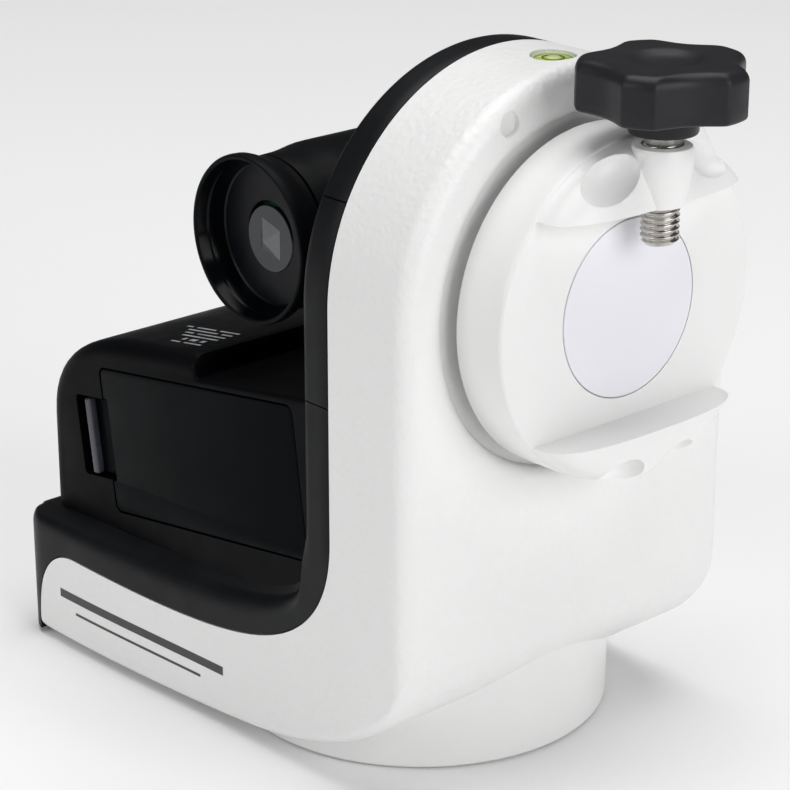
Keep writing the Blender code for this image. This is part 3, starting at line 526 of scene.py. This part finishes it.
def foot_ring(y, inset=0.0):
    arm = y <= COVER_Y + 0.01
    w = half_width(y) - inset
    zb = bottom(y) + inset
    R = 2.6
    yy = min(y, COVER_Y)
    e = 0.0
    if arm and y > COVER_Y - R:
        e = R - math.sqrt(max(R * R - (y - (COVER_Y - R)) ** 2, 0.0))
    if y < Y_IN + 0.3 and not inset:
        e = 0.25
    rear = max(0.0, y - (REAR_Y - 4.0))
    drop = 4.0 - math.sqrt(max(16.0 - rear * rear, 0.0)) if rear > 0 else 0.0
    zi = inner_fold(y) - inset - min(drop, 2.2)
    zo = outer_fold(y) - inset - min(drop, 2.2)
    col, pts = 16, []
    top0 = zo - 3.0
    for k in range(col + 1):
        z = zb + (top0 - zb) * k / col
        pts.append((w - e * smooth((z - 50) / 10), z))
    if arm:
        zt = PART_LOW - GAP / 2 - inset
        for k in range(1, 15):
            z = top0 + (zt - top0) * k / 14
            pts.append((w - e * smooth((z - 50) / 10), z))
    else:
        xi = min(BOX_W - 0.2, w - 1.0)
        slope_x = max(xi + 0.3, w - 2.6)
        for k in range(1, 8):
            t = k / 7
            p0, p1, p2 = (w, top0), (w, zo + 0.5), (slope_x, zo + (zi - zo) * 0.45)
            pts.append(tuple((1 - t) ** 2 * p0[i] + 2 * t * (1 - t) * p1[i] + t * t * p2[i] for i in range(2)))
        for k in range(1, 8):
            t = k / 7
            pts.append((slope_x + (xi - slope_x) * t, pts[-1][1] if False else (zo + (zi - zo) * (0.45 + 0.55 * t))))
    return [(x, y, z) for x, z in pts] + [(-x, y, z) for x, z in reversed(pts)]


ys = [Y_IN, Y_IN + 0.4, -22.0, -19.0] + [COVER_Y - 2.6 + 2.6 * math.sin(math.pi / 2 * k / 6) for k in range(7)]
ys += [COVER_Y + 0.12, -15.9, -15.6, -15.2, -14.6, -13.8, -12.6, -11, -9, -6.5, -3.5, 0, 4, 8, 13, 19, 26, 34, 43, 52, 60, 67, 73, 77]
ys += [REAR_Y - REAR_R + REAR_R * math.sin(math.pi / 2 * k / 10) for k in range(11)]
foot = loft("cover_foot", [foot_ring(y) for y in ys], "black", 40)
region = [(Y_IN, 190), (Y_IN, 58.0)] + offset_line(SEAM, GAP)[1:] + [(81.2 + GAP, -8), (120, -8), (120, 190)]
boolean(foot, prism("tmp", region, "X", -60, 60), "INTERSECT")
inner = [foot_ring(y, SKIN) for y in ys[4:-3]]
inner = [[(p[0], Y_IN - 1, p[2]) for p in inner[0]]] + inner
cut(foot, loft("tmp", inner),
    box("tmp", (-42.0, -13.5, 28), (42.0, 81.0, 60)),
    box("tmp", (-42.0, -30, 34), (42.0, -10, 78)),
    box("tmp", (-44.5, -30, 76), (44.5, -18.5, 95)),
    disc("tmp", DRUM_R + GAP + 0.1, -12, 27.0, n=96))
foot.data.materials.clear()
foot.data.materials.append(M["black"])
foot.data.set_sharp_from_angle(angle=math.radians(40))
done(foot, "arm", "black_moulding", "foot_cover")


# ------------------------------------------------------------------ battery box
def tilted(u, v):
    return (DOOR_C[0] + u * math.cos(TILT) + v * math.sin(TILT), DOOR_C[1] - u * math.sin(TILT) + v * math.cos(TILT))


def recess_z(y):
    return 84.2 - 0.154 * y


def box_ring(x, d=0.0):
    """Side profile of the box at one X: recess in front, raised plateau, then the rounded rear."""
    ax = abs(x) + (0 if d == 0 else d)
    r1 = 1.0
    e1 = r1 - math.sqrt(max(r1 * r1 - max(0.0, ax - (BOX_W - r1)) ** 2, 0.0))
    rp, hp = 4.0, 4.2
    q = max(0.0, ax - (BOX_W - rp)) / rp
    e2 = hp * (1 - math.sqrt(max(1 - min(q, 1.0) ** 2, 0.0)))
    r6 = 6.0
    e3 = r6 - math.sqrt(max(r6 * r6 - max(0.0, ax - (BOX_W - r6)) ** 2, 0.0))
    y0 = COVER_Y + GAP + d
    yr = BOX_REAR - e3 - d
    p = [(y0, 38.0), (y0, recess_z(y0) - e1 - d)]
    for y in (-5.0, 5.0, 15.0, 23.6):
        p.append((y, recess_z(y) - e1 - d))
    zt = 85.5 - d
    lo = recess_z(25) - e1 - d
    for y, f in ((24.6, 0.02), (25.0, 0.12), (25.3, 0.45), (25.6, 0.80), (26.1, 0.95), (27.0, 1.0)):
        p.append((y, max(lo, lo + (zt - e2 - lo) * f)))
    for y in (35.0, 43.0, 51.0):
        p.append((y, zt - e2 - (y - 27.0) * 0.154))
    a = p[-1]
    p += [(b[0] + 0, b[1]) for b in bez(a, (66.0, a[1] - 2.3), (yr, 73.0 - e2 * 0.7 - d), (yr, 56.0), 14)[1:]]
    for z in (50.0, 44.0, 38.0, 33.0):
        p.append((yr, z))
    for y in (76.0, 60.0, 40.0, 20.0, 5.0, -6.0):
        p.append((min(y, yr - 1), inner_fold(y) - 2.2))
    return [(x, a[0], a[1]) for a in p]


xs = [BOX_W * 1.0]
xs += [BOX_W - 0.12, BOX_W - 0.4, BOX_W - 0.8, BOX_W - 1.3, BOX_W - 2.0, BOX_W - 3.0, BOX_W - 4.2, BOX_W - 6.0, 34.0, 20.0, 7.0]
xs = [-x for x in xs] + xs[::-1]
bbox_ = loft("battery_case", [box_ring(x) for x in xs], "box", 30)
inner_box = loft("tmp_inner", [box_ring(x, SKIN) for x in (-BOX_W + SKIN, -38, -30, 0, 30, 38, BOX_W - SKIN)])


def tilted_box(name, u0, v0, u1, v1, x0, x1, r=0.0, mat=None, n=8):
    q = []
    if r:
        for cu, cv, a in ((u0 + r, v0 + r, 180), (u1 - r, v0 + r, 270), (u1 - r, v1 - r, 0), (u0 + r, v1 - r, 90)):
            for k in range(n + 1):
                t = math.radians(a + 90 * k / n)
                q.append(tilted(cu + r * math.cos(t), cv + r * math.sin(t)))
    else:
        q = [tilted(u, v) for u, v in ((u0, v0), (u1, v0), (u1, v1), (u0, v1))]
    return prism(name, q, "X", x0, x1, mat)


HL, HH = DOOR_L / 2, DOOR_H / 2
cut(inner_box, tilted_box("tmp", HL - 2.5, -13, HL + 16.0, 13, -60, -BOX_W + 7.5))
boolean(bbox_, inner_box)
cut(bbox_,
    tilted_box("tmp", -HL - GAP, -HH - GAP, HL + GAP, HH + GAP, -BOX_W - 5, -BOX_W + 2.35, r=2.2),
    tilted_box("tmp", -33.0, -15.2, 31.4, 15.2, -BOX_W - 5, -BOX_W + 8.0, r=1.0),
    tilted_box("tmp", HL - 1.0, -9.9, HL + 11.2, 9.9, -BOX_W - 5, -BOX_W + 5.2, r=1.2))
BTN = [("button_up", 24.0, 69.0), ("button_down", 24.0, 47.0), ("button_left", 35.0, 58.0), ("button_right", 13.0, 58.0)]
for nm, y, z in BTN:
    cut(bbox_, disc("tmp", 4.6, 40, 50, "X", (0, y, z), 48))
cut(bbox_, disc("tmp", 6.3, 78, 90, "Y", (-14.0, 0, 47.0), 64), box("tmp", (4.7, 78, 40.7), (21.3, 90, 53.3)))
bbox_.data.materials.clear()
bbox_.data.materials.append(M["box"])
bbox_.data.set_sharp_from_angle(angle=math.radians(30))
done(bbox_, "arm", "box_moulding", "battery_box")

# door and latch
door = tilted_box("door_panel", -HL, -HH, HL, HH, -BOX_W + 0.05, -BOX_W + 2.0, r=2.0, mat="door")
cut(door, tilted_box("tmp", HL - 1.3, -9.9, HL + 5, 9.9, -BOX_W - 5, -BOX_W + 6, r=0.4))
bevel(door, 0.35, 3, 50)
door.data.materials.clear()
door.data.materials.append(M["door"])
done(door, "door", "door_moulding", "battery_door")
latch = tilted_box("latch_slider", HL - 0.8, -9.2, HL + 7.6, 9.2, -BOX_W + 1.6, -BOX_W + 3.0, r=0.8, mat="door")
bevel(latch, 0.25, 2, 50)
done(latch, "latch", "door_moulding", "door_latch")
# rounded tab on the latch; its lighter grey material is a painted highlight, not the tab's own colour
bar = tilted_box("latch_tab_painted_highlight", HL + 5.6, -9.2, HL + 7.6, 9.2, -BOX_W - 0.25, -BOX_W + 2.2, r=0.5, mat="bar")
bevel(bar, 0.5, 3, 50)
done(bar, "latch", "door_moulding")

# printed field on the plateau: plain bars of different lengths, no lettering
rows = [(24.5, [(0, 9), (11, 20), (22, 25)]), (21.6, [(0, 5), (7, 21)]), (18.7, [(0, 13), (15, 19)]), (15.8, [(0, 17)]),
        (12.4, [(2, 4), (6, 9), (11, 12.4)]), (9.0, [(0, 8), (10, 14)])]
k = 0
for dx, spans in rows:
    for a, c in spans:
        k += 1
        y0, y1 = 32.0 + a * 0.78, 32.0 + c * 0.78
        x0 = -BOX_W + 1.0 + dx * 0.72
        w2 = 0.34 if dx not in (12.4,) else 0.7
        z = lambda y: 85.5 - (y - 27.0) * 0.154 + 0.012
        me = make("print_bar_%02d" % k,
                  [(x0 - w2, y0, z(y0)), (x0 + w2, y0, z(y0)), (x0 + w2, y1, z(y1)), (x0 - w2, y1, z(y1)),
                   (x0 - w2, y0, z(y0) - 0.05), (x0 + w2, y0, z(y0) - 0.05), (x0 + w2, y1, z(y1) - 0.05), (x0 - w2, y1, z(y1) - 0.05)],
                  [(0, 1, 2, 3), (7, 6, 5, 4), (0, 4, 5, 1), (1, 5, 6, 2), (2, 6, 7, 3), (3, 7, 4, 0)], "print_white")
        done(me, "arm", "box_moulding")

# ------------------------------------------------------------------ base drum
drum = lathe("drum_white", [(14.0, 6.0), (41.0, 6.0), (41.0, 0.0), (43.0, 0.0)]
             + [(43.0 + math.sin(math.radians(t)), 1.0 - math.cos(math.radians(t))) for t in range(15, 91, 15)]
             + [(44.0, DRUM_TOP), (41.0, DRUM_TOP), (41.0, 10.0), (19.0, 10.0), (19.0, 18.0), (14.0, 18.0)], n=192, mat="coat_fine")
done(drum, "base", "powder_white", "base_drum")

# ------------------------------------------------------------------ clamp saddle
JAW_RISE = 10.2
prof = [(0, SADDLE_BACK), (36.2, SADDLE_BACK), (36.7, SADDLE_BACK - 0.15), (SADDLE_R, SADDLE_BACK - 0.7), (36.95, SADDLE_FLOOR + 1.2)]
prof += [(36.3 + 0.62 * math.cos(math.radians(t)), SADDLE_FLOOR + 0.6 - 0.6 * math.sin(math.radians(t))) for t in (20, 45, 70)]
for k in range(0, 25):
    x = 27.9 * (1 - (k / 24.0) ** 2.2)
    prof.append((math.hypot(JAW_HALF, x) - 0.55 * (1 - k / 24.0), SADDLE_FLOOR - 0.2 - (JAW_RISE - 0.2) * (1 - (x / 28.0) ** 3) ** (1 / 3.0)))
prof += [(12.0, SADDLE_FLOOR - JAW_RISE), (0, SADDLE_FLOOR - JAW_RISE)]
saddle = lathe("saddle_white", prof, "Y", (0, 0, ALT_Z), 180)
slot = prism("tmp", [(-60, ALT_Z - JAW_HALF), (60, ALT_Z - JAW_HALF), (60, ALT_Z + JAW_HALF), (-60, ALT_Z + JAW_HALF)], "Y", -95, SADDLE_FLOOR)
cut(saddle, slot)
boss = lathe("tmp", [(0, ALT_Z + JAW_HALF + 0.01), (4.75, ALT_Z + JAW_HALF + 0.01), (5.0, ALT_Z + JAW_HALF + 1.2), (5.7, 137.2), (6.15, 139.6), (BOSS_R, 142.0), (BOSS_R, BOSS_TOP - 0.8), (BOSS_R - 0.25, BOSS_TOP - 0.25), (BOSS_R - 0.8, BOSS_TOP), (0, BOSS_TOP)],
             "Z", (0, SCREW_Y, 0), 72)
boolean(saddle, boss, "UNION")


def scoop(ang, r, y, a, b, c, roll):
    """Ellipsoid cutter for a finger scoop; a along the jaw, b outwards, c forwards."""
    n, m = 40, 20
    verts, faces = [(0, 0, -1)], []
    for i in range(1, m):
        t = math.pi * i / m
        for j in range(n):
            s = 2 * math.pi * j / n
            verts.append((math.sin(t) * math.cos(s), math.sin(t) * math.sin(s), -math.cos(t)))
    verts.append((0, 0, 1))
    for j in range(n):
        k = (j + 1) % n
        faces.append((0, 1 + k, 1 + j))
        for i in range(m - 2):
            p = 1 + i * n
            faces.append((p + j, p + k, p + n + k, p + n + j))
        faces.append((1 + (m - 2) * n + j, 1 + (m - 2) * n + k, len(verts) - 1))
    t = math.radians(ang)
    ex = Vector((math.cos(t), 0, -math.sin(t)))
    er = Vector((math.sin(t), 0, math.cos(t)))
    ey = Vector((0, -1, 0))
    q = math.radians(roll)
    e2 = er * math.cos(q) + ey * math.sin(q)
    e3 = ey * math.cos(q) - er * math.sin(q)
    c0 = er * r + Vector((0, y, ALT_Z))
    out = [tuple(c0 + ex * (v[0] * a) + e2 * (v[1] * b) + e3 * (v[2] * c)) for v in verts]
    return make("tmp", out, faces)


for ang in (-23, 23):
    cut(saddle, scoop(ang, 35.45, -71.2, 8.2, 5.0, 5.8, 41))
for ang in (180 - 13, 180 + 13):
    cut(saddle, scoop(ang, 35.2, -71.0, 6.0, 5.0, 5.8, 41))
cut(saddle, disc("tmp", SCREW_R + 0.35, ALT_Z + 15, BOSS_TOP + 5, "Z", (0, SCREW_Y, 0), 64),
    disc("tmp", 19.45, SADDLE_FLOOR - 1, SADDLE_FLOOR + 1.0, "Y", (0, 0, ALT_Z), 128),
    disc("tmp", 7.3, SADDLE_FLOOR + 3.0, SADDLE_BACK + 5, "Y", (0, 0, ALT_Z), 48))
saddle.data.materials.clear()
saddle.data.materials.append(M["coat_fine"])
bevel(saddle, 0.55, 3, 42)
saddle.data.set_sharp_from_angle(angle=math.radians(40))
done(saddle, "altitude", "powder_white", "saddle")
lab = lathe("saddle_label", [(0, SADDLE_FLOOR + 0.7), (19.2, SADDLE_FLOOR + 0.7), (19.2, SADDLE_FLOOR + 0.05), (19.05, SADDLE_FLOOR - 0.1), (0, SADDLE_FLOOR - 0.1)],
            "Y", (0, 0, ALT_Z), 144, "label")
done(lab, "altitude", "disc_label", "centre_disc")

# ------------------------------------------------------------------ clamp screw: plain shank with a rolled thread
PITCH, CREST, ROOT = 1.25, 4.0, 3.22
turns_n, seg = int((151.0 - SCREW_TIP) / PITCH), 36
prof_t = [(0.0, ROOT), (0.10, ROOT), (0.42, CREST - 0.05), (0.50, CREST), (0.60, CREST), (0.68, CREST - 0.05), (1.0, ROOT)]
verts, faces = [], []
cols = (turns_n + 1) * seg
for i in range(cols + 1):
    t = 2 * math.pi * i / seg
    z0 = SCREW_TIP - 0.6 + PITCH * i / seg
    for f, rr in prof_t[:-1]:
        z = z0 + f * PITCH
        lim = min(1.0, max(0.0, (z - SCREW_TIP) / 1.1))
        r = min(rr, 3.0 + (CREST - 3.0) * lim)
        z = max(z, SCREW_TIP)
        verts.append((r * math.cos(t), SCREW_Y + r * math.sin(t), z))
P = len(prof_t) - 1
for i in range(cols):
    for j in range(P):
        a = i * P + j
        if j < P - 1:
            faces.append((a, a + P, a + P + 1, a + 1))
        elif i + seg <= cols:
            b0 = (i + seg) * P
            if i + seg + 1 <= cols:
                faces.append((a, a + P, b0 + P, b0))
thread = bpy.data.meshes.new("screw_thread")
thread.from_pydata([Vector(v) * MM for v in verts], [], faces)
thread.validate()
th = bpy.data.objects.new("screw_thread", thread)
bpy.context.scene.collection.objects.link(th)
bm = bmesh.new()
bm.from_mesh(thread)
bmesh.ops.remove_doubles(bm, verts=bm.verts, dist=1e-6)
bmesh.ops.dissolve_degenerate(bm, edges=bm.edges, dist=1e-7)
bmesh.ops.holes_fill(bm, edges=[e for e in bm.edges if e.is_boundary], sides=0)
bmesh.ops.recalc_face_normals(bm, faces=bm.faces)
bm.to_mesh(thread)
bm.free()
thread.materials.append(M["steel"])
thread.shade_smooth()
thread.set_sharp_from_angle(angle=math.radians(50))
done(th, "screw", "screw_steel", "clamp_screw")
shank = lathe("screw_shank", [(0, SCREW_TIP + 0.05), (2.4, SCREW_TIP + 0.05), (3.15, SCREW_TIP + 0.9), (3.15, 146.0), (3.9, 146.35), (4.05, 146.6), (4.05, 160.0), (0, 160.0)],
              "Z", (0, SCREW_Y, 0), 64, "steel")
done(shank, "screw", "screw_steel")

# ------------------------------------------------------------------ knob with five lobes
LOBE_AT, SCALLOP = math.radians(277.7), 25.0
KZ0, KZ1 = 152.8, 163.4


def lobe_radius(t, soft=0.0):
    a = ((t - LOBE_AT) * 5 / (2 * math.pi)) % 1.0
    phi = abs(a - 0.5) * 72.0
    chord = KNOB_R * math.cos(math.radians(SCALLOP)) / math.cos(math.radians(min(phi, 34.0))) - 1.2 * (1 - (phi / SCALLOP) ** 2)
    k = 0.22 + soft
    h = max(k - abs(chord - KNOB_R), 0.0) / k
    return min(chord, KNOB_R) - h * h * k * 0.25


rings = []
N = 360
steps = [(KZ0, 1.0), (KZ0 + 0.12, 0.55), (KZ0 + 0.4, 0.2), (KZ0 + 0.9, 0.0), (KZ0 + 3, 0.0), (KZ0 + 5.5, 0.0), (KZ1 - 3.0, 0.0)]
RT = 2.7
steps += [(KZ1 - RT + RT * math.sin(math.radians(t)), RT - RT * math.cos(math.radians(t))) for t in range(0, 91, 9)]
steps += [(KZ1 + 0.02, 4.0), (KZ1 + 0.03, 6.5)]
for z, dr in steps:
    ring = []
    for k in range(N):
        t = 2 * math.pi * k / N + LOBE_AT
        r = lobe_radius(t, dr * 0.5) - dr
        ring.append((r * math.cos(t), SCREW_Y + r * math.sin(t), z))
    rings.append(ring)
knob = loft("knob_body", rings, "knob", 40)
collar = lathe("tmp", [(0, 148.2), (6.6, 148.2), (7.0, 148.35), (7.2, 148.8), (7.2, 155.0), (0, 155.0)], "Z", (0, SCREW_Y, 0), 96)
boolean(knob, collar, "UNION")
dish = [(0, KZ1 - 1.6), (3.5, KZ1 - 1.55), (5.6, KZ1 - 1.25), (6.7, KZ1 - 0.75), (7.5, KZ1 - 0.25), (8.3, KZ1 + 0.0), (9.0, KZ1 + 0.1), (9.0, KZ1 + 3), (0, KZ1 + 3)]
cut(knob, lathe("tmp", dish, "Z", (0, SCREW_Y, 0), 96), disc("tmp", SCREW_R + 0.3, 140, 160.5, "Z", (0, SCREW_Y, 0), 64))
knob.data.materials.clear()
knob.data.materials.append(M["knob"])
knob.data.set_sharp_from_angle(angle=math.radians(42))
done(knob, "knob", "knob_black", "knob")

# ------------------------------------------------------------------ bubble level
cup = lathe("level_ring", [(0, 149.5), (4.65, 149.5), (4.65, 157.85), (4.55, 158.0), (4.2, 158.0), (4.05, 157.8), (4.05, 150.6), (0, 150.6)],
            "Z", (0, LEVEL_Y, 0), 96, "vial_rim")
done(cup, "arm", "level_rim", "level_cup")
via = lathe("level_fluid", [(0, 150.9), (3.9, 150.9), (3.9, 157.55), (3.4, 157.75), (0, 157.85)], "Z", (0, LEVEL_Y, 0), 96, "vial")
done(via, "arm", "level_green", "level_vial")
for nm, r0, r1, z, mt in (("level_mark", 2.1, 2.45, 157.86, "vial_line"), ("level_bubble", 0.0, 1.55, 157.90, "bubble")):
    if r0:
        o = lathe(nm, [(r0, z - 0.15), (r1, z - 0.15), (r1, z), (r0, z)], "Z", (0, LEVEL_Y, 0), 72, mt)
    else:
        o = lathe(nm, [(0, z - 0.2), (r1, z - 0.2), (r1 * 0.9, z + 0.02), (r1 * 0.5, z + 0.1), (0, z + 0.13)], "Z", (0.3, LEVEL_Y + 0.2, 0), 48, mt)
    done(o, "arm", "level_green")

# ------------------------------------------------------------------ sun sensor
SC = (0, SENSOR_Y, SENSOR_Z)
hood = lathe("sensor_hood_v", [(7.6, -32.9), (16.6, -32.9), (17.25, -33.1), (17.3, -34.4), (17.35, -35.2), (17.9, -36.3), (18.5, -37.4), (18.85, -38.4),
                               (18.92, -39.6), (18.85, -40.4), (18.6, -40.85), (18.2, -41.0), (17.85, -40.9), (17.62, -40.6),
                               (17.1, -38.4), (16.9, -38.1), (16.75, -37.9), (16.3, -35.8), (15.9, -34.4), (15.5, -34.1), (7.6, -34.0)], "X", SC, 160, "gloss", 28)
hood.data.materials.append(M["sensor"])
hood.data.materials.append(M["floorblack"])
for p in hood.data.polygons:
    c = p.center / MM
    rr = math.hypot(c.y - SENSOR_Y, c.z - SENSOR_Z)
    outer = p.normal.y * (c.y - SENSOR_Y) + p.normal.z * (c.z - SENSOR_Z)
    if outer > 0 or c.x < -40.55:
        p.material_index = 1
    elif rr < 15.7 and c.x < -33.2:
        p.material_index = 2
done(hood, "altitude", "sensor_gloss", "sensor_hood")
win = lathe("sensor_window_v", [(0, -33.2), (7.5, -33.2), (7.5, -34.1), (7.35, -34.25), (0, -34.25)], "X", (0, SENSOR_Y, SENSOR_Z - 1.0), 96, "window")
done(win, "altitude", "sensor_glass", "sensor_window")
pts = [(-3.2, -3.4), (3.4, -4.2), (3.4, 2.6), (-2.6, 4.4)]
apex = (-1.6, -0.9)
W = -34.27
fac = make("sensor_facets", [(W - 0.75, SENSOR_Y - apex[0], SENSOR_Z - 1.0 + apex[1])] + [(W, SENSOR_Y - a, SENSOR_Z - 1.0 + c) for a, c in pts],
           [(0, 1, 2), (0, 2, 3), (0, 3, 4), (0, 4, 1), (4, 3, 2, 1)], "facet")
fac.data.shade_flat()
done(fac, "altitude", "sensor_glass", "sensor_prism")
body = lathe("sensor_barrel", [(0, -30.0), (13.6, -30.0), (13.6, -32.4), (16.7, -32.4), (17.1, -32.2), (17.25, -31.8), (17.35, -28.0), (17.6, -25.5), (18.1, -22.4), (18.25, -21.0),
                               (18.3, -19.0), (18.3, 15.6), (18.1, 16.6), (17.5, 17.5), (16.6, 18.0), (0, 18.0)], "X", SC, 128, "sensor", 30)
cut(body, disc("tmp", 15.6, -20, -6.5, "Y", (0, 0, ALT_Z), 72))
body.data.materials.clear()
body.data.materials.append(M["sensor"])
body.data.set_sharp_from_angle(angle=math.radians(30))
done(body, "altitude", "sensor_black", "sensor_body")
hub = lathe("sensor_hub_v", [(0, -16.0), (15.0, -16.0), (15.0, -9.2), (14.7, -8.2), (13.9, -7.2), (13.2, -6.9), (0, -6.9)], "Y", (0, 0, ALT_Z), 96, "sensor")
done(hub, "altitude", "sensor_black", "sensor_hub")

# ------------------------------------------------------------------ plain printed bars on the foot's left side
def foot_print(name, y0, y1, z0, z1, slope=-0.0):
    n = 12
    v, f = [], []
    for k in range(n + 1):
        y = y0 + (y1 - y0) * k / n
        x = -half_width(y) - 0.02
        for z in (z0, z1):
            v += [(x, y, z), (x + 0.08, y, z)]
    for k in range(n):
        a, b = 4 * k, 4 * k + 4
        f += [(a, b, b + 2, a + 2), (a + 1, a + 3, b + 3, b + 1), (a, a + 1, b + 1, b), (a + 2, b + 2, b + 3, a + 3)]
    f += [(0, 2, 3, 1), (4 * n, 4 * n + 1, 4 * n + 3, 4 * n + 2)]
    o = make(name, v, f, "print_dark")
    return done(o, "arm", "black_moulding")


foot_print("foot_bar_long", 12.0, 72.0, 13.0, 15.2)
foot_print("foot_bar_thin", 20.0, 66.0, 9.8, 10.5)

# ------------------------------------------------------------------ CAD pieces that stay, with worked materials
stay = {
    "inner_steel": ["azimuth_spindle", "azimuth_worm", "azimuth_motor", "azimuth_bearing", "altitude_bearing_front", "altitude_bearing_rear",
                    "altitude_worm", "altitude_motor", "altitude_shaft", "clutch_nut", "contact_plate"],
    "bronze": ["tripod_bush", "azimuth_worm_wheel", "altitude_worm_wheel"],
    "alloy": ["chassis"], "rubber": ["base_plate"], "inner": ["battery_bay", "battery_tray", "power_socket", "switch_bezel"],
    "board": ["control_board", "sensor_board"], "button": ["button_up", "button_down", "button_left", "button_right"],
    "knob": ["power_switch"], "wrap": ["cell_1", "cell_4", "cell_5", "cell_8"], "wrap_dark": ["cell_2", "cell_3", "cell_6", "cell_7"],
}
for m, names in stay.items():
    for n in names:
        ob = NODES[n]
        if not ob.material_slots:
            ob.data.materials.append(M[m])
        for s in ob.material_slots:
            s.material = M[m]

# ------------------------------------------------------------------ floor, light, camera
fm = bpy.data.meshes.new("studio_floor")
S_ = 3.0
fm.from_pydata([(-S_, -S_, 0), (S_, -S_, 0), (S_, S_, 0), (-S_, S_, 0)], [], [(0, 1, 2, 3)])
floor = bpy.data.objects.new("studio_floor", fm)
bpy.context.scene.collection.objects.link(floor)
floor.location.z = -0.0004
paper = procedural("studio_paper", (0.93, 0.93, 0.93), 0.9, grain=800, depth=0.00002, strength=0.1, tone=3, tone_amount=0.004,
                   specular=0.1)
fm.materials.append(paper)

world = bpy.data.worlds.new("studio")
bpy.context.scene.world = world
world.use_nodes = True
world.node_tree.nodes["Background"].inputs["Color"].default_value = (1, 1, 1, 1)
world.node_tree.nodes["Background"].inputs["Strength"].default_value = 0.08

CENTRE = Vector((0, 0, 0.08))


def area(name, loc, size, power, size_y=None):
    l = bpy.data.lights.new(name, "AREA")
    l.energy = power
    l.shape = "RECTANGLE"
    l.size = size
    l.size_y = size_y or size
    o = bpy.data.objects.new(name, l)
    bpy.context.scene.collection.objects.link(o)
    o.location = loc
    o.rotation_euler = (CENTRE - Vector(loc)).to_track_quat("-Z", "Y").to_euler()
    return o


area("softbox_top", (0.15, 0.15, 2.2), 2.0, 43.0)
area("softbox_left", (-1.3, 0.25, 0.6), 0.9, 5.0, 0.7)
area("softbox_front", (0.05, -1.35, 0.55), 1.0, 9.6, 0.8)

cam = bpy.data.cameras.new("camera")
cam.lens = 120.497
cam.sensor_width = 36.0
cam.clip_start = 0.01
co = bpy.data.objects.new("camera", cam)
bpy.context.scene.collection.objects.link(co)
r = Vector((0.74509, -0.66697, 0.0))
u = Vector((0.23568, 0.26328, 0.93549))
b = Vector((-0.62394, -0.69702, 0.35336))
rot = Matrix((r, u, b)).transposed().to_4x4()
co.matrix_world = Matrix.Translation(Vector((-0.3806, -0.41644, 0.28525))) @ rot
bpy.context.scene.camera = co
bpy.context.scene.view_settings.view_transform = "Standard"
bpy.context.scene.view_settings.look = "None"
